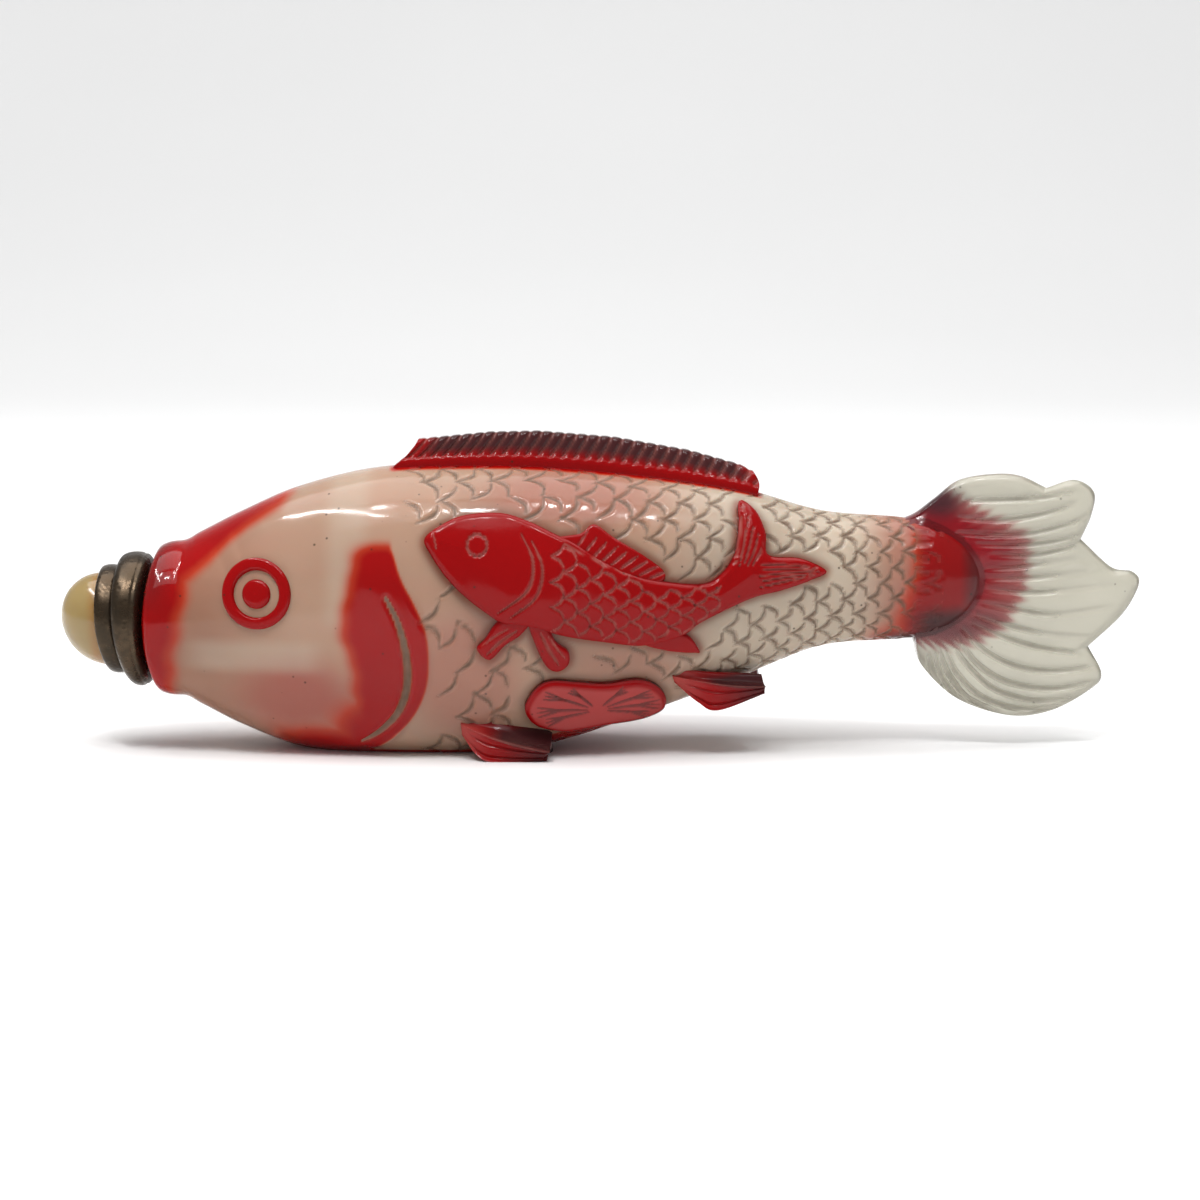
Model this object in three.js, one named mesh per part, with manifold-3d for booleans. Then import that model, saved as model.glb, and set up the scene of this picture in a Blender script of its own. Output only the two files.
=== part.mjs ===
// A snuff bottle in the form of a carp, ground glass with a carved red overlay, and its stopper.
// Millimetres. The fish lies along X with its mouth toward -X, Y runs across it and Z is up.
// It rests on the flat ground under its belly, and the origin is there, under its middle.

import * as THREE from 'three';
import { mergeVertices } from 'three/addons/utils/BufferGeometryUtils.js';
import Module from 'manifold-3d';

const wasm = await Module();
wasm.setup();

// Driving sizes of the fish's body
const MOUTH_X = -44.4;
const BODY_END_X = 38.4;
const BODY_END_ROUND = 6.4;
const LIP_ROUND = 1.1;
const AXIS_Z = 12.8;

// The body's sections: place along X, height of the back, height of the belly, half width,
// and fullness, where 2 is an ellipse and more is squarer. Below Z 0 the belly is ground flat.
const SECTIONS = [
  { x: -44.4, back: 19.6, belly: 6.0, half: 6.8, full: 2.0 },
  { x: -41.0, back: 21.0, belly: 4.8, half: 7.2, full: 2.0 },
  { x: -36.0, back: 23.5, belly: 2.3, half: 8.3, full: 2.05 },
  { x: -30.0, back: 26.1, belly: 0.0, half: 9.3, full: 2.1 },
  { x: -22.0, back: 28.0, belly: -0.9, half: 10.1, full: 2.2 },
  { x: -12.0, back: 28.4, belly: -0.9, half: 10.2, full: 2.25 },
  { x: -5.0, back: 28.2, belly: 0.3, half: 9.9, full: 2.25 },
  { x: 4.0, back: 27.4, belly: 3.2, half: 9.0, full: 2.2 },
  { x: 14.0, back: 25.9, belly: 7.0, half: 7.2, full: 2.15 },
  { x: 22.0, back: 23.7, belly: 10.1, half: 5.7, full: 2.1 },
  { x: 30.0, back: 23.0, belly: 10.8, half: 4.4, full: 2.1 },
  { x: 38.4, back: 21.8, belly: 11.6, half: 3.6, full: 2.1 },
];

// The hollow: an even wall all round, and a round bore from the mouth into it
const WALL = 3.0;
const HOLLOW_FRONT_X = -36.0;
const HOLLOW_END_X = 14.0;
const HOLLOW_ROUND = 9.0;
const BORE_RADIUS = 3.25;
const BORE_END_X = -30.0;

// The stopper: a turned metal collar with a plug, and the cabochon set in it
const COLLAR_GAP = 0.3;
const PLUG_RADIUS = 2.9;
const PLUG_LENGTH = 4.2;
const LIP_RING = { radius: 6.65, width: 1.4 };
const BIG_RING = { radius: 6.7, width: 2.3 };
const SMALL_RING = { radius: 5.45, width: 2.2 };
const RING_GROOVE = 0.35;
const SEAT = { radius: 4.95, depth: 0.8 };
const CABOCHON = { radius: 4.62, height: 3.2, rim: 0.5 };

// Relief heights and groove depths on the flanks
const CARP_RELIEF = 1.2;
const SMALL_FIN_RELIEF = 0.8;
const LEAF_RELIEF = 0.9;
const EYE_RELIEF = 0.45;
const GILL_GROOVE = { width: 1.0, depth: 0.6 };
const LINE_GROOVE = { width: 0.5, depth: 0.45 };

// The eye, in the fish's side view
const EYE = { x: -33.3, z: 16.4, pupil: 1.4, inner: 2.25, outer: 3.4 };

// Dorsal fin: a plain band along its foot, and slanting ray grooves above it
const DORSAL = {
  frontFoot: -20.4, endFoot: 15.6, frontTop: -18.0, endTop: 15.2,
  bandHeight: 0.7, footHalf: 1.7, topHalf: 1.0, rays: 28, groove: 0.4, notch: 0.25,
};
const DORSAL_TOP = [
  [-18.0, 30.8], [-11.0, 31.5], [-6.0, 31.6], [1.4, 31.0], [8.8, 29.7], [13.8, 28.3], [15.2, 27.6],
];

// Tail: four lobes, each a smooth edge from notch to notch, as X and Z in the side view
const TAIL_LOBES = [
  { rays: 12, edge: [[30.8, 23.1], [33.2, 25.0], [35.7, 26.7], [39.2, 27.3], [41.8, 27.1], [44.4, 25.9]] },
  { rays: 8, edge: [[44.4, 25.9], [47.2, 26.7], [49.1, 25.5], [48.9, 23.2], [47.9, 20.8]] },
  { rays: 12, edge: [[47.9, 20.8], [51.0, 18.0], [53.2, 17.5], [53.8, 16.2], [52.2, 13.2], [48.9, 10.0]] },
  {
    rays: 14,
    edge: [
      [48.9, 10.0], [50.3, 7.2], [49.2, 5.6], [45.4, 3.5], [41.2, 3.0], [35.9, 4.7], [32.3, 8.0], [31.4, 10.5],
    ],
  },
];
const TAIL = {
  rootX: 31.4, rootTop: 22.4, rootLow: 11.4, rootHalf: 2.2,
  edgeHalf: 0.9, rimHalf: 0.35, groove: 0.28, sag: 0.13,
};
const TAIL_ROWS = [0, 0.3, 0.63, 0.94, 1];

// Paired fins under the belly: root line, outer ridge and hem, as X, Y and Z on the near side
const PELVIC_FIN = {
  root: [[-13.8, -7.4, 4.6], [-9.8, -7.0, 3.9], [-6.0, -6.2, 2.9], [-4.7, -5.8, 2.3]],
  ridge: [[-13.6, -8.2, 3.6], [-10.8, -9.4, 2.5], [-8.0, -9.8, 1.7], [-4.9, -9.7, 1.0]],
  hem: [[-13.5, -8.0, 2.5], [-12.0, -8.9, 0.7], [-10.2, -9.2, 0.0], [-5.2, -9.1, 0.0]],
  inner: 4.6, thick: 1.5,
};
const ANAL_FIN = {
  root: [[6.9, -6.3, 8.9], [10.6, -6.0, 8.4], [13.6, -5.4, 8.2], [15.9, -5.2, 8.0]],
  ridge: [[7.1, -6.9, 8.1], [10.6, -7.4, 7.5], [13.6, -7.2, 7.1], [16.3, -6.4, 6.9]],
  hem: [[7.3, -6.4, 7.4], [9.6, -7.0, 5.6], [11.6, -6.8, 4.8], [16.2, -6.0, 6.2]],
  inner: 3.2, thick: 1.2,
};
const FIN_STEPS = 9;

// The small carp carved on each flank, nose to tail along its back and home along its belly
const SMALL_CARP = [
  [-16.9, 21.7], [-15.4, 22.9], [-13.1, 23.8], [-9.7, 24.0], [-7.0, 23.3], [-4.1, 22.0], [-2.5, 21.5],
  [0.2, 19.7], [2.8, 18.4], [5.5, 17.8], [9.8, 17.4], [11.7, 18.4], [13.0, 20.2], [13.4, 22.7],
  [13.5, 24.6], [15.1, 23.7], [16.0, 21.9], [16.3, 19.9], [19.4, 19.5], [22.0, 18.3], [20.5, 17.5],
  [17.6, 16.6], [14.9, 16.0], [12.2, 14.9], [9.5, 13.6], [7.9, 12.5], [4.2, 11.6], [0.2, 12.0],
  [-3.5, 12.6], [-6.8, 13.5], [-9.4, 13.9], [-10.9, 14.8], [-13.0, 16.4], [-14.8, 18.2], [-16.3, 20.3],
];
const CARP_FINS = [
  [
    [-4.3, 21.6], [-1.9, 22.2], [-0.6, 23.0], [1.3, 21.8], [4.2, 20.1],
    [6.2, 18.5], [5.5, 17.4], [2.8, 17.9], [-0.2, 19.4],
  ],
  [[-9.6, 14.2], [-6.9, 14.0], [-7.7, 12.7], [-9.2, 11.7], [-10.7, 10.3], [-11.9, 11.4], [-11.1, 12.4]],
  [[-6.9, 14.0], [-5.2, 13.6], [-4.3, 12.1], [-3.1, 11.1], [-3.1, 9.8], [-4.1, 9.1], [-5.2, 9.6], [-6.2, 11.6]],
  [[4.2, 11.8], [7.9, 12.7], [9.6, 10.9], [9.0, 10.7], [6.3, 11.0]],
];
const CARP_GILL = [[-7.6, 22.1], [-6.6, 19.6], [-7.0, 17.0], [-9.6, 14.9]];
const CARP_EYE = { x: -11.8, z: 21.0, inner: 0.75, outer: 1.2 };
const GILL = [[-20.4, 16.0], [-19.4, 13.6], [-18.7, 10.4], [-18.7, 7.6], [-19.6, 5.0], [-21.9, 2.9]];

// Lotus leaf low on each flank, with veins from its middle
const LEAF = [
  [-7.3, 5.8], [-6.2, 7.5], [-4.7, 8.2], [-2.1, 8.0], [0.5, 7.8], [3.5, 8.1], [5.3, 7.5],
  [6.3, 6.2], [6.1, 4.8], [4.1, 3.8], [0.5, 3.4], [-2.2, 3.0], [-3.9, 2.9], [-6.1, 3.5], [-7.1, 4.5],
];
const LEAF_MIDDLE = [-0.4, 5.4];
const LEAF_VEINS = [[-5.9, 6.4], [-3.2, 7.3], [2.2, 7.3], [4.9, 6.6], [5.2, 5.2], [-5.8, 4.6]];

// Numbers of flat faces
const BODY_STEPS = 34;
const BODY_SIDES = 24;
const HOLLOW_STEPS = 14;
const HOLLOW_SIDES = 16;
const TURNED_SIDES = 24;
const RING_STEPS = 4;
const DOME_STEPS = 6;
const ARC_SEGMENTS = 7;
const FLANK_REACH = 16;
const MIDDLE_CLEAR = 0.4;

function hermite(from, to, slopeFrom, slopeTo, width, t) {
  const t2 = t * t;
  const t3 = t2 * t;
  const start = (2 * t3 - 3 * t2 + 1) * from + (t3 - 2 * t2 + t) * width * slopeFrom;
  return start + (3 * t2 - 2 * t3) * to + (t3 - t2) * width * slopeTo;
}

// A smooth line through one value of the sections, at any place along X
function sectionValue(key, x) {
  const last = SECTIONS.length - 1;
  let i = 0;
  while (i < last - 1 && x > SECTIONS[i + 1].x) i += 1;
  const slope = (k) => {
    const a = SECTIONS[Math.max(0, k - 1)];
    const b = SECTIONS[Math.min(last, k + 1)];
    return (b[key] - a[key]) / (b.x - a.x);
  };
  const a = SECTIONS[i];
  const b = SECTIONS[i + 1];
  const width = b.x - a.x;
  return hermite(a[key], b[key], slope(i), slope(i + 1), width, (x - a.x) / width);
}

// How far the rounded end has closed in, 1 before it and 0 at its tip
function endRounding(x, end, length) {
  const into = Math.max(0, length - Math.abs(end - x)) / length;
  return Math.sqrt(Math.max(0, 1 - into * into));
}

function sectionAt(x) {
  const back = sectionValue('back', x);
  const belly = sectionValue('belly', x);
  const closing = endRounding(x, BODY_END_X, BODY_END_ROUND);
  const fromLip = Math.max(0, LIP_ROUND - (x - MOUTH_X));
  const lip = LIP_ROUND - Math.sqrt(Math.max(0, LIP_ROUND * LIP_ROUND - fromLip * fromLip));
  return {
    middle: (back + belly) / 2,
    tall: ((back - belly) / 2) * closing - lip,
    half: sectionValue('half', x) * closing - lip,
    full: sectionValue('full', x),
  };
}

// A ring of points round a section, drawn in by an inset or let out where it is negative
function sectionRing(x, section, inset, sides) {
  const points = [];
  for (let j = 0; j < sides; j += 1) {
    const angle = (2 * Math.PI * j) / sides;
    const power = 2 / section.full;
    const across = Math.sign(Math.cos(angle)) * Math.abs(Math.cos(angle)) ** power;
    const up = Math.sign(Math.sin(angle)) * Math.abs(Math.sin(angle)) ** power;
    points.push([x, (section.half - inset) * across, section.middle + (section.tall - inset) * up]);
  }
  return points;
}

// A closed skin through rings of like points, with a fan over each end
function loft(rings) {
  const sides = rings[0].length;
  const positions = rings.flat(2);
  const indices = [];
  const centreOf = (ring) => [0, 1, 2].map((axis) => ring.reduce((sum, p) => sum + p[axis], 0) / sides);
  for (let i = 0; i < rings.length - 1; i += 1) {
    for (let j = 0; j < sides; j += 1) {
      const a = i * sides + j;
      const b = i * sides + ((j + 1) % sides);
      indices.push(a, b, a + sides, b, b + sides, a + sides);
    }
  }
  const first = rings.length * sides;
  const lastRing = (rings.length - 1) * sides;
  positions.push(...centreOf(rings[0]), ...centreOf(rings[rings.length - 1]));
  for (let j = 0; j < sides; j += 1) {
    const next = (j + 1) % sides;
    indices.push(first, next, j);
    indices.push(first + 1, lastRing + j, lastRing + next);
  }
  const geometry = new THREE.BufferGeometry();
  geometry.setAttribute('position', new THREE.Float32BufferAttribute(positions, 3));
  geometry.setIndex(indices);
  return geometry;
}

// A closed geometry as a solid, turned the right way out if its faces point in
function solidOf(geometry) {
  const bare = geometry.clone();
  bare.deleteAttribute('normal');
  bare.deleteAttribute('uv');
  const merged = mergeVertices(bare, 1e-4);
  const vertProperties = new Float32Array(merged.getAttribute('position').array);
  const triVerts = new Uint32Array(merged.getIndex().array);
  const solid = new wasm.Manifold(new wasm.Mesh({ numProp: 3, vertProperties, triVerts }));
  if (solid.volume() >= 0) return solid;
  for (let i = 0; i < triVerts.length; i += 3) {
    [triVerts[i], triVerts[i + 1]] = [triVerts[i + 1], triVerts[i]];
  }
  return new wasm.Manifold(new wasm.Mesh({ numProp: 3, vertProperties, triVerts }));
}

function geometryOf(solid) {
  const mesh = solid.getMesh();
  const geometry = new THREE.BufferGeometry();
  geometry.setAttribute('position', new THREE.BufferAttribute(new Float32Array(mesh.vertProperties), 3));
  geometry.setIndex(new THREE.BufferAttribute(new Uint32Array(mesh.triVerts), 1));
  return geometry;
}

function mirrored(geometry) {
  return geometry.clone().applyMatrix4(new THREE.Matrix4().makeScale(1, -1, 1));
}

// Places along the body, closer together toward both ends
function spacedPlaces(from, to, steps) {
  const places = [];
  for (let i = 0; i <= steps; i += 1) {
    const even = i / steps;
    const eased = (1 - Math.cos(Math.PI * even)) / 2;
    places.push(from + (to - from) * (0.55 * even + 0.45 * eased));
  }
  return places;
}

function bodySkin(lift) {
  const tip = BODY_END_X - 0.02;
  const places = spacedPlaces(MOUTH_X, tip, BODY_STEPS);
  const rings = places.map((x) => sectionRing(x, sectionAt(x), -lift, BODY_SIDES));
  return solidOf(loft(rings));
}

// The hollow follows the outside at the thickness of the wall and closes roundly at both ends
function hollowSolid() {
  const rings = spacedPlaces(HOLLOW_FRONT_X + 0.05, HOLLOW_END_X - 0.05, HOLLOW_STEPS).map((x) => {
    const section = sectionAt(x);
    const front = endRounding(x, HOLLOW_FRONT_X, HOLLOW_ROUND);
    const end = endRounding(x, HOLLOW_END_X, HOLLOW_ROUND);
    const low = Math.max(section.middle - section.tall, 0) + WALL;
    const high = section.middle + section.tall - WALL;
    const inside = {
      middle: (low + high) / 2,
      tall: ((high - low) / 2) * front * end,
      half: (section.half - WALL) * front * end,
      full: section.full,
    };
    return sectionRing(x, inside, 0, HOLLOW_SIDES);
  });
  return solidOf(loft(rings));
}

// A solid turned about the stopper's axis from a profile of places along X and radii
function turned(profile, centreZ) {
  const points = profile.map(([x, radius]) => new THREE.Vector2(radius, x));
  const geometry = new THREE.LatheGeometry(points, TURNED_SIDES);
  geometry.rotateZ(-Math.PI / 2);
  geometry.translate(0, 0, centreZ);
  return geometry;
}

function boreSolid() {
  const outside = MOUTH_X - 2;
  return solidOf(turned([[outside, 0], [outside, BORE_RADIUS], [BORE_END_X, BORE_RADIUS], [BORE_END_X, 0]], AXIS_Z));
}

// A prism of a side-view outline, reaching from near the middle plane out past one flank
function flankPrism(shape) {
  const depth = FLANK_REACH - MIDDLE_CLEAR;
  const geometry = new THREE.ExtrudeGeometry(shape, { depth, bevelEnabled: false, curveSegments: ARC_SEGMENTS });
  geometry.rotateX(Math.PI / 2);
  geometry.translate(0, -MIDDLE_CLEAR, 0);
  return geometry;
}

function outlineShape(points) {
  return new THREE.Shape(points.map(([x, z]) => new THREE.Vector2(x, z)));
}

function smoothOutline(points, steps) {
  const curve = new THREE.CatmullRomCurve3(points.map(([x, z]) => new THREE.Vector3(x, z, 0)), true);
  return outlineShape(curve.getPoints(steps).slice(0, -1).map((p) => [p.x, p.y]));
}

function ringShape(x, z, outer, inner) {
  const shape = new THREE.Shape();
  shape.absarc(x, z, outer, 0, 2 * Math.PI, false);
  if (inner > 0) {
    const hole = new THREE.Path();
    hole.absarc(x, z, inner, 0, 2 * Math.PI, true);
    shape.holes.push(hole);
  }
  return shape;
}

// A cut line: it swells from a point to its full width and tapers out again
function strokeShape(points, width, steps) {
  const curve = new THREE.CatmullRomCurve3(points.map(([x, z]) => new THREE.Vector3(x, z, 0)));
  const left = [];
  const right = [];
  for (let i = 0; i <= steps; i += 1) {
    const t = i / steps;
    const p = curve.getPoint(t);
    const along = curve.getTangent(t);
    const half = (width / 2) * Math.sin(Math.PI * Math.min(0.97, Math.max(0.03, t))) ** 0.6;
    left.push([p.x - along.y * half, p.y + along.x * half]);
    right.unshift([p.x + along.y * half, p.y - along.x * half]);
  }
  return outlineShape([...left, ...right]);
}

function onBothFlanks(shape) {
  const near = flankPrism(shape);
  return solidOf(near).add(solidOf(mirrored(near)));
}

function raised(body, shape, lift) {
  return body.add(onBothFlanks(shape).intersect(bodySkin(lift)));
}

function carved(body, shape, depth) {
  return body.subtract(onBothFlanks(shape).subtract(bodySkin(-depth)));
}

function lineHeight(points, x) {
  let i = 0;
  while (i < points.length - 2 && x > points[i + 1][0]) i += 1;
  const [fromX, fromZ] = points[i];
  const [toX, toZ] = points[i + 1];
  return fromZ + ((toZ - fromZ) * (x - fromX)) / (toX - fromX);
}

// Dorsal fin: rings across the blade along its length, with a valley between each two rays
function dorsalFin() {
  const columns = DORSAL.rays * 2;
  const rings = [];
  for (let i = 0; i <= columns; i += 1) {
    const u = i / columns;
    const valley = i % 2;
    const footX = THREE.MathUtils.lerp(DORSAL.frontFoot, DORSAL.endFoot, u);
    const topX = THREE.MathUtils.lerp(DORSAL.frontTop, DORSAL.endTop, u);
    const back = sectionValue('back', footX);
    const top = lineHeight(DORSAL_TOP, topX) - valley * DORSAL.notch;
    const bandZ = back + DORSAL.bandHeight;
    const bandX = THREE.MathUtils.lerp(footX, topX, DORSAL.bandHeight / (top - back));
    const topHalf = DORSAL.topHalf - valley * DORSAL.groove;
    const side = [
      [footX, DORSAL.footHalf, back - 1.4],
      [bandX, DORSAL.footHalf * 0.95, bandZ],
      [topX, topHalf, top],
    ];
    const far = side.map(([x, y, z]) => [x, y, z]);
    const near = side.map(([x, y, z]) => [x, -y, z]).reverse();
    rings.push([...far, ...near]);
  }
  return solidOf(loft(rings));
}

// One tail ray runs from the root to the edge and sags, so that all rays sweep upward
function tailRing(rootZ, edge, valley) {
  const [edgeX, edgeZ] = edge;
  const reach = Math.hypot(edgeX - TAIL.rootX, edgeZ - rootZ);
  const far = TAIL_ROWS.map((v) => {
    const sag = 4 * v * (1 - v) * TAIL.sag * reach;
    const taper = THREE.MathUtils.lerp(TAIL.rootHalf, TAIL.edgeHalf, Math.min(1, v * 1.15));
    const groove = valley * TAIL.groove * Math.min(1, v * 3);
    const half = v === 1 ? TAIL.rimHalf : taper - groove;
    const x = THREE.MathUtils.lerp(TAIL.rootX, edgeX, v);
    return [x, half, THREE.MathUtils.lerp(rootZ, edgeZ, v) - sag];
  });
  const near = far.map(([x, y, z]) => [x, -y, z]).reverse();
  return [...far, ...near];
}

function tailEdge() {
  const edge = [];
  for (const lobe of TAIL_LOBES) {
    const curve = new THREE.CatmullRomCurve3(lobe.edge.map(([x, z]) => new THREE.Vector3(x, z, 0)));
    const points = curve.getSpacedPoints(lobe.rays).map((p) => [p.x, p.y]);
    edge.push(...(edge.length > 0 ? points.slice(1) : points));
  }
  return edge;
}

function tailFin() {
  const edge = tailEdge();
  const rings = edge.map((point, i) => {
    const rootZ = THREE.MathUtils.lerp(TAIL.rootTop, TAIL.rootLow, i / (edge.length - 1));
    return tailRing(rootZ, point, i % 2);
  });
  return solidOf(loft(rings));
}

function curveThrough(points) {
  return new THREE.CatmullRomCurve3(points.map((p) => new THREE.Vector3(...p)));
}

// A fin of the pair under the belly: a folded leaf that flares out from the flank
function pairedFin(fin) {
  const root = curveThrough(fin.root);
  const ridge = curveThrough(fin.ridge);
  const hem = curveThrough(fin.hem);
  const rings = [];
  for (let i = 0; i <= FIN_STEPS; i += 1) {
    const t = i / FIN_STEPS;
    const [a, b, c] = [root.getPoint(t), ridge.getPoint(t), hem.getPoint(t)];
    rings.push([
      [a.x, -fin.inner, a.z - fin.thick * 0.5],
      [a.x, a.y, a.z],
      [b.x, b.y, b.z],
      [c.x, c.y, c.z],
      [c.x, (a.y - fin.inner) / 2 + fin.thick * 0.2, Math.max(c.z + 0.2, a.z - fin.thick * 1.7)],
      [a.x, -fin.inner, a.z - fin.thick * 1.4],
    ]);
  }
  return loft(rings);
}

function bothPairedFins(fin) {
  const near = pairedFin(fin);
  return solidOf(near).add(solidOf(mirrored(near)));
}

function groundBelow() {
  const slab = new THREE.BoxGeometry(200, 60, 20);
  slab.translate(0, 0, -10);
  return solidOf(slab);
}

function bottleGeometry() {
  let body = bodySkin(0);
  body = carved(body, strokeShape(GILL, GILL_GROOVE.width, 10), GILL_GROOVE.depth);
  body = raised(body, ringShape(EYE.x, EYE.z, EYE.outer, EYE.inner), EYE_RELIEF);
  body = raised(body, ringShape(EYE.x, EYE.z, EYE.pupil, 0), EYE_RELIEF);
  for (const fin of CARP_FINS) {
    body = raised(body, smoothOutline(fin, 12), SMALL_FIN_RELIEF);
  }
  body = raised(body, outlineShape(SMALL_CARP), CARP_RELIEF);
  const onCarp = LINE_GROOVE.depth - CARP_RELIEF;
  body = carved(body, strokeShape(CARP_GILL, LINE_GROOVE.width, 6), onCarp);
  body = carved(body, ringShape(CARP_EYE.x, CARP_EYE.z, CARP_EYE.outer, CARP_EYE.inner), onCarp);
  body = raised(body, smoothOutline(LEAF, 20), LEAF_RELIEF);
  for (const vein of LEAF_VEINS) {
    const line = strokeShape([LEAF_MIDDLE, vein], LINE_GROOVE.width, 2);
    body = carved(body, line, LINE_GROOVE.depth - LEAF_RELIEF);
  }
  body = body.add(dorsalFin()).add(tailFin()).add(bothPairedFins(PELVIC_FIN)).add(bothPairedFins(ANAL_FIN));
  body = body.subtract(groundBelow());
  return geometryOf(body.subtract(hollowSolid().add(boreSolid())));
}

// The collar's rings are rounded by a quarter-ellipse at each side of their width
function ringProfile(fromX, ring, floor) {
  const points = [];
  for (let i = 0; i <= RING_STEPS; i += 1) {
    const angle = (Math.PI * i) / RING_STEPS;
    const x = fromX - (ring.width * (1 - Math.cos(angle))) / 2;
    points.push([x, floor + (ring.radius - floor) * Math.sin(angle) ** 0.5]);
  }
  return points;
}

function collarGeometry() {
  const startX = MOUTH_X - COLLAR_GAP;
  const bigX = startX - LIP_RING.width;
  const smallX = bigX - BIG_RING.width;
  const frontX = smallX - SMALL_RING.width;
  const profile = [
    [startX + PLUG_LENGTH, 0],
    [startX + PLUG_LENGTH, PLUG_RADIUS],
    [startX, PLUG_RADIUS],
    ...ringProfile(startX, LIP_RING, LIP_RING.radius - RING_GROOVE),
    ...ringProfile(bigX, BIG_RING, SMALL_RING.radius - RING_GROOVE),
    ...ringProfile(smallX, SMALL_RING, SEAT.radius + 0.1),
    [frontX, SEAT.radius],
    [frontX + SEAT.depth, SEAT.radius],
    [frontX + SEAT.depth, 0],
  ];
  return geometryOf(solidOf(turned(profile, AXIS_Z)));
}

function cabochonGeometry() {
  const rings = LIP_RING.width + BIG_RING.width + SMALL_RING.width;
  const seatX = MOUTH_X - COLLAR_GAP - rings + SEAT.depth;
  const baseX = seatX - COLLAR_GAP;
  const profile = [[baseX, 0]];
  for (let i = 0; i <= DOME_STEPS; i += 1) {
    const angle = ((Math.PI / 2) * i) / DOME_STEPS;
    profile.push([baseX - CABOCHON.rim - CABOCHON.height * Math.sin(angle), CABOCHON.radius * Math.cos(angle)]);
  }
  profile.splice(1, 0, [baseX, CABOCHON.radius]);
  profile[profile.length - 1][1] = 0;
  return geometryOf(solidOf(turned(profile, AXIS_Z)));
}

const GLASS = new THREE.MeshStandardMaterial({ color: 0xb08c7c, roughness: 0.15, metalness: 0 });
const METAL = new THREE.MeshStandardMaterial({ color: 0x4c4135, roughness: 0.45, metalness: 0.8 });
const STONE = new THREE.MeshStandardMaterial({ color: 0xb09a68, roughness: 0.25, metalness: 0 });

function named(geometry, name, material) {
  const mesh = new THREE.Mesh(geometry, material);
  mesh.name = name;
  return mesh;
}

const group = new THREE.Group();
group.add(named(bottleGeometry(), 'bottle', GLASS));
group.add(named(collarGeometry(), 'stopper_collar', METAL));
group.add(named(cabochonGeometry(), 'stopper_cabochon', STONE));

export default group;
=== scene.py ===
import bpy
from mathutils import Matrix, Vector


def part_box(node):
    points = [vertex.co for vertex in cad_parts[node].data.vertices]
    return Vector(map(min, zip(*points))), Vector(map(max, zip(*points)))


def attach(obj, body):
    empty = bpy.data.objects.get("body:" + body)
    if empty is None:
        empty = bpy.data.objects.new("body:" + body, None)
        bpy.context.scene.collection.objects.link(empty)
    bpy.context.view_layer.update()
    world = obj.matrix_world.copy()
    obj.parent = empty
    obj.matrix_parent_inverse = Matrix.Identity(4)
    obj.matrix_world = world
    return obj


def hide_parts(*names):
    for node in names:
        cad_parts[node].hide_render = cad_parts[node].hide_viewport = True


bl_info = {
    "name": "Carp Snuff Bottle",
    "version": (1, 0, 0),
    "blender": (4, 5, 0),
    "location": "View3D > Sidebar > Carp Bottle",
    "description": "Builds a carp-shaped overlay glass snuff bottle with its stopper",
    "category": "Object",
}

import math

import bmesh
import bpy
import numpy as np
from bpy.props import FloatProperty, FloatVectorProperty, IntProperty, PointerProperty
from bpy.types import Operator, Panel, PropertyGroup
from mathutils import Vector
from mathutils.geometry import delaunay_2d_cdt

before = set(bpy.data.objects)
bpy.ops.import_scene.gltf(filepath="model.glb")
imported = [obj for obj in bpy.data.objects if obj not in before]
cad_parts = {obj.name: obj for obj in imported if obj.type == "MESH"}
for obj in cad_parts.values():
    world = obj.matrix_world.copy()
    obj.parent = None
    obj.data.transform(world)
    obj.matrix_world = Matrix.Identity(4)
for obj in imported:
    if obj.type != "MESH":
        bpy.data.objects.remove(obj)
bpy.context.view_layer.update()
BOTTLE_LOW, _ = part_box("bottle")
COLLAR_LOW, COLLAR_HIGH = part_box("stopper_collar")
CABOCHON_LOW, CABOCHON_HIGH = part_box("stopper_cabochon")

# Shapes are worked out in millimetres and put in the meshes in metres
MM = 0.001
MOUTH_X = BOTTLE_LOW[0] / MM
AXIS_Z = (COLLAR_LOW[2] + COLLAR_HIGH[2]) / 2 / MM
BODY_END_X = 38.4
BODY_END_ROUND = 6.4
LIP_ROUND = 1.1

# Sections along the body: place, back, belly, half width and fullness
SECTION_X = np.array([-44.4, -41, -36, -30, -22, -12, -5, 4, 14, 22, 30, 38.4])
SECTION_BACK = np.array([19.6, 21.0, 23.5, 26.1, 28.0, 28.4, 28.2, 27.4, 25.9, 23.7, 23.0, 21.8])
SECTION_BELLY = np.array([6.0, 4.8, 2.3, 0.0, -0.9, -0.9, 0.3, 3.2, 7.0, 10.1, 10.8, 11.6])
SECTION_HALF = np.array([6.8, 7.2, 8.3, 9.3, 10.1, 10.2, 9.9, 9.0, 7.2, 5.7, 4.4, 3.6])
SECTION_FULL = np.array([2, 2, 2.05, 2.1, 2.2, 2.25, 2.25, 2.2, 2.15, 2.1, 2.1, 2.1])
# How far round from a flank's middle its scales reach, and the seeds of their uneven cutting
FLANK_REACH = math.radians(86)
NEAR_SEED = 11
FAR_SEED = 12
WALL = 3.0
HOLLOW_FRONT_X = -36.0
HOLLOW_END_X = 14.0
HOLLOW_ROUND = 9.0
BORE_RADIUS = 3.25
# Millimetres to a radian round the body, where a relief is laid out flat
AROUND_SCALE = 11.0
MIRRORED = np.array([1, -1, 1])
# How far a relief's skirt and the middle of its hidden underside go into the glass
SKIRT_DEPTH = 0.5
UNDERSIDE_DEPTH = 1.2

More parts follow.
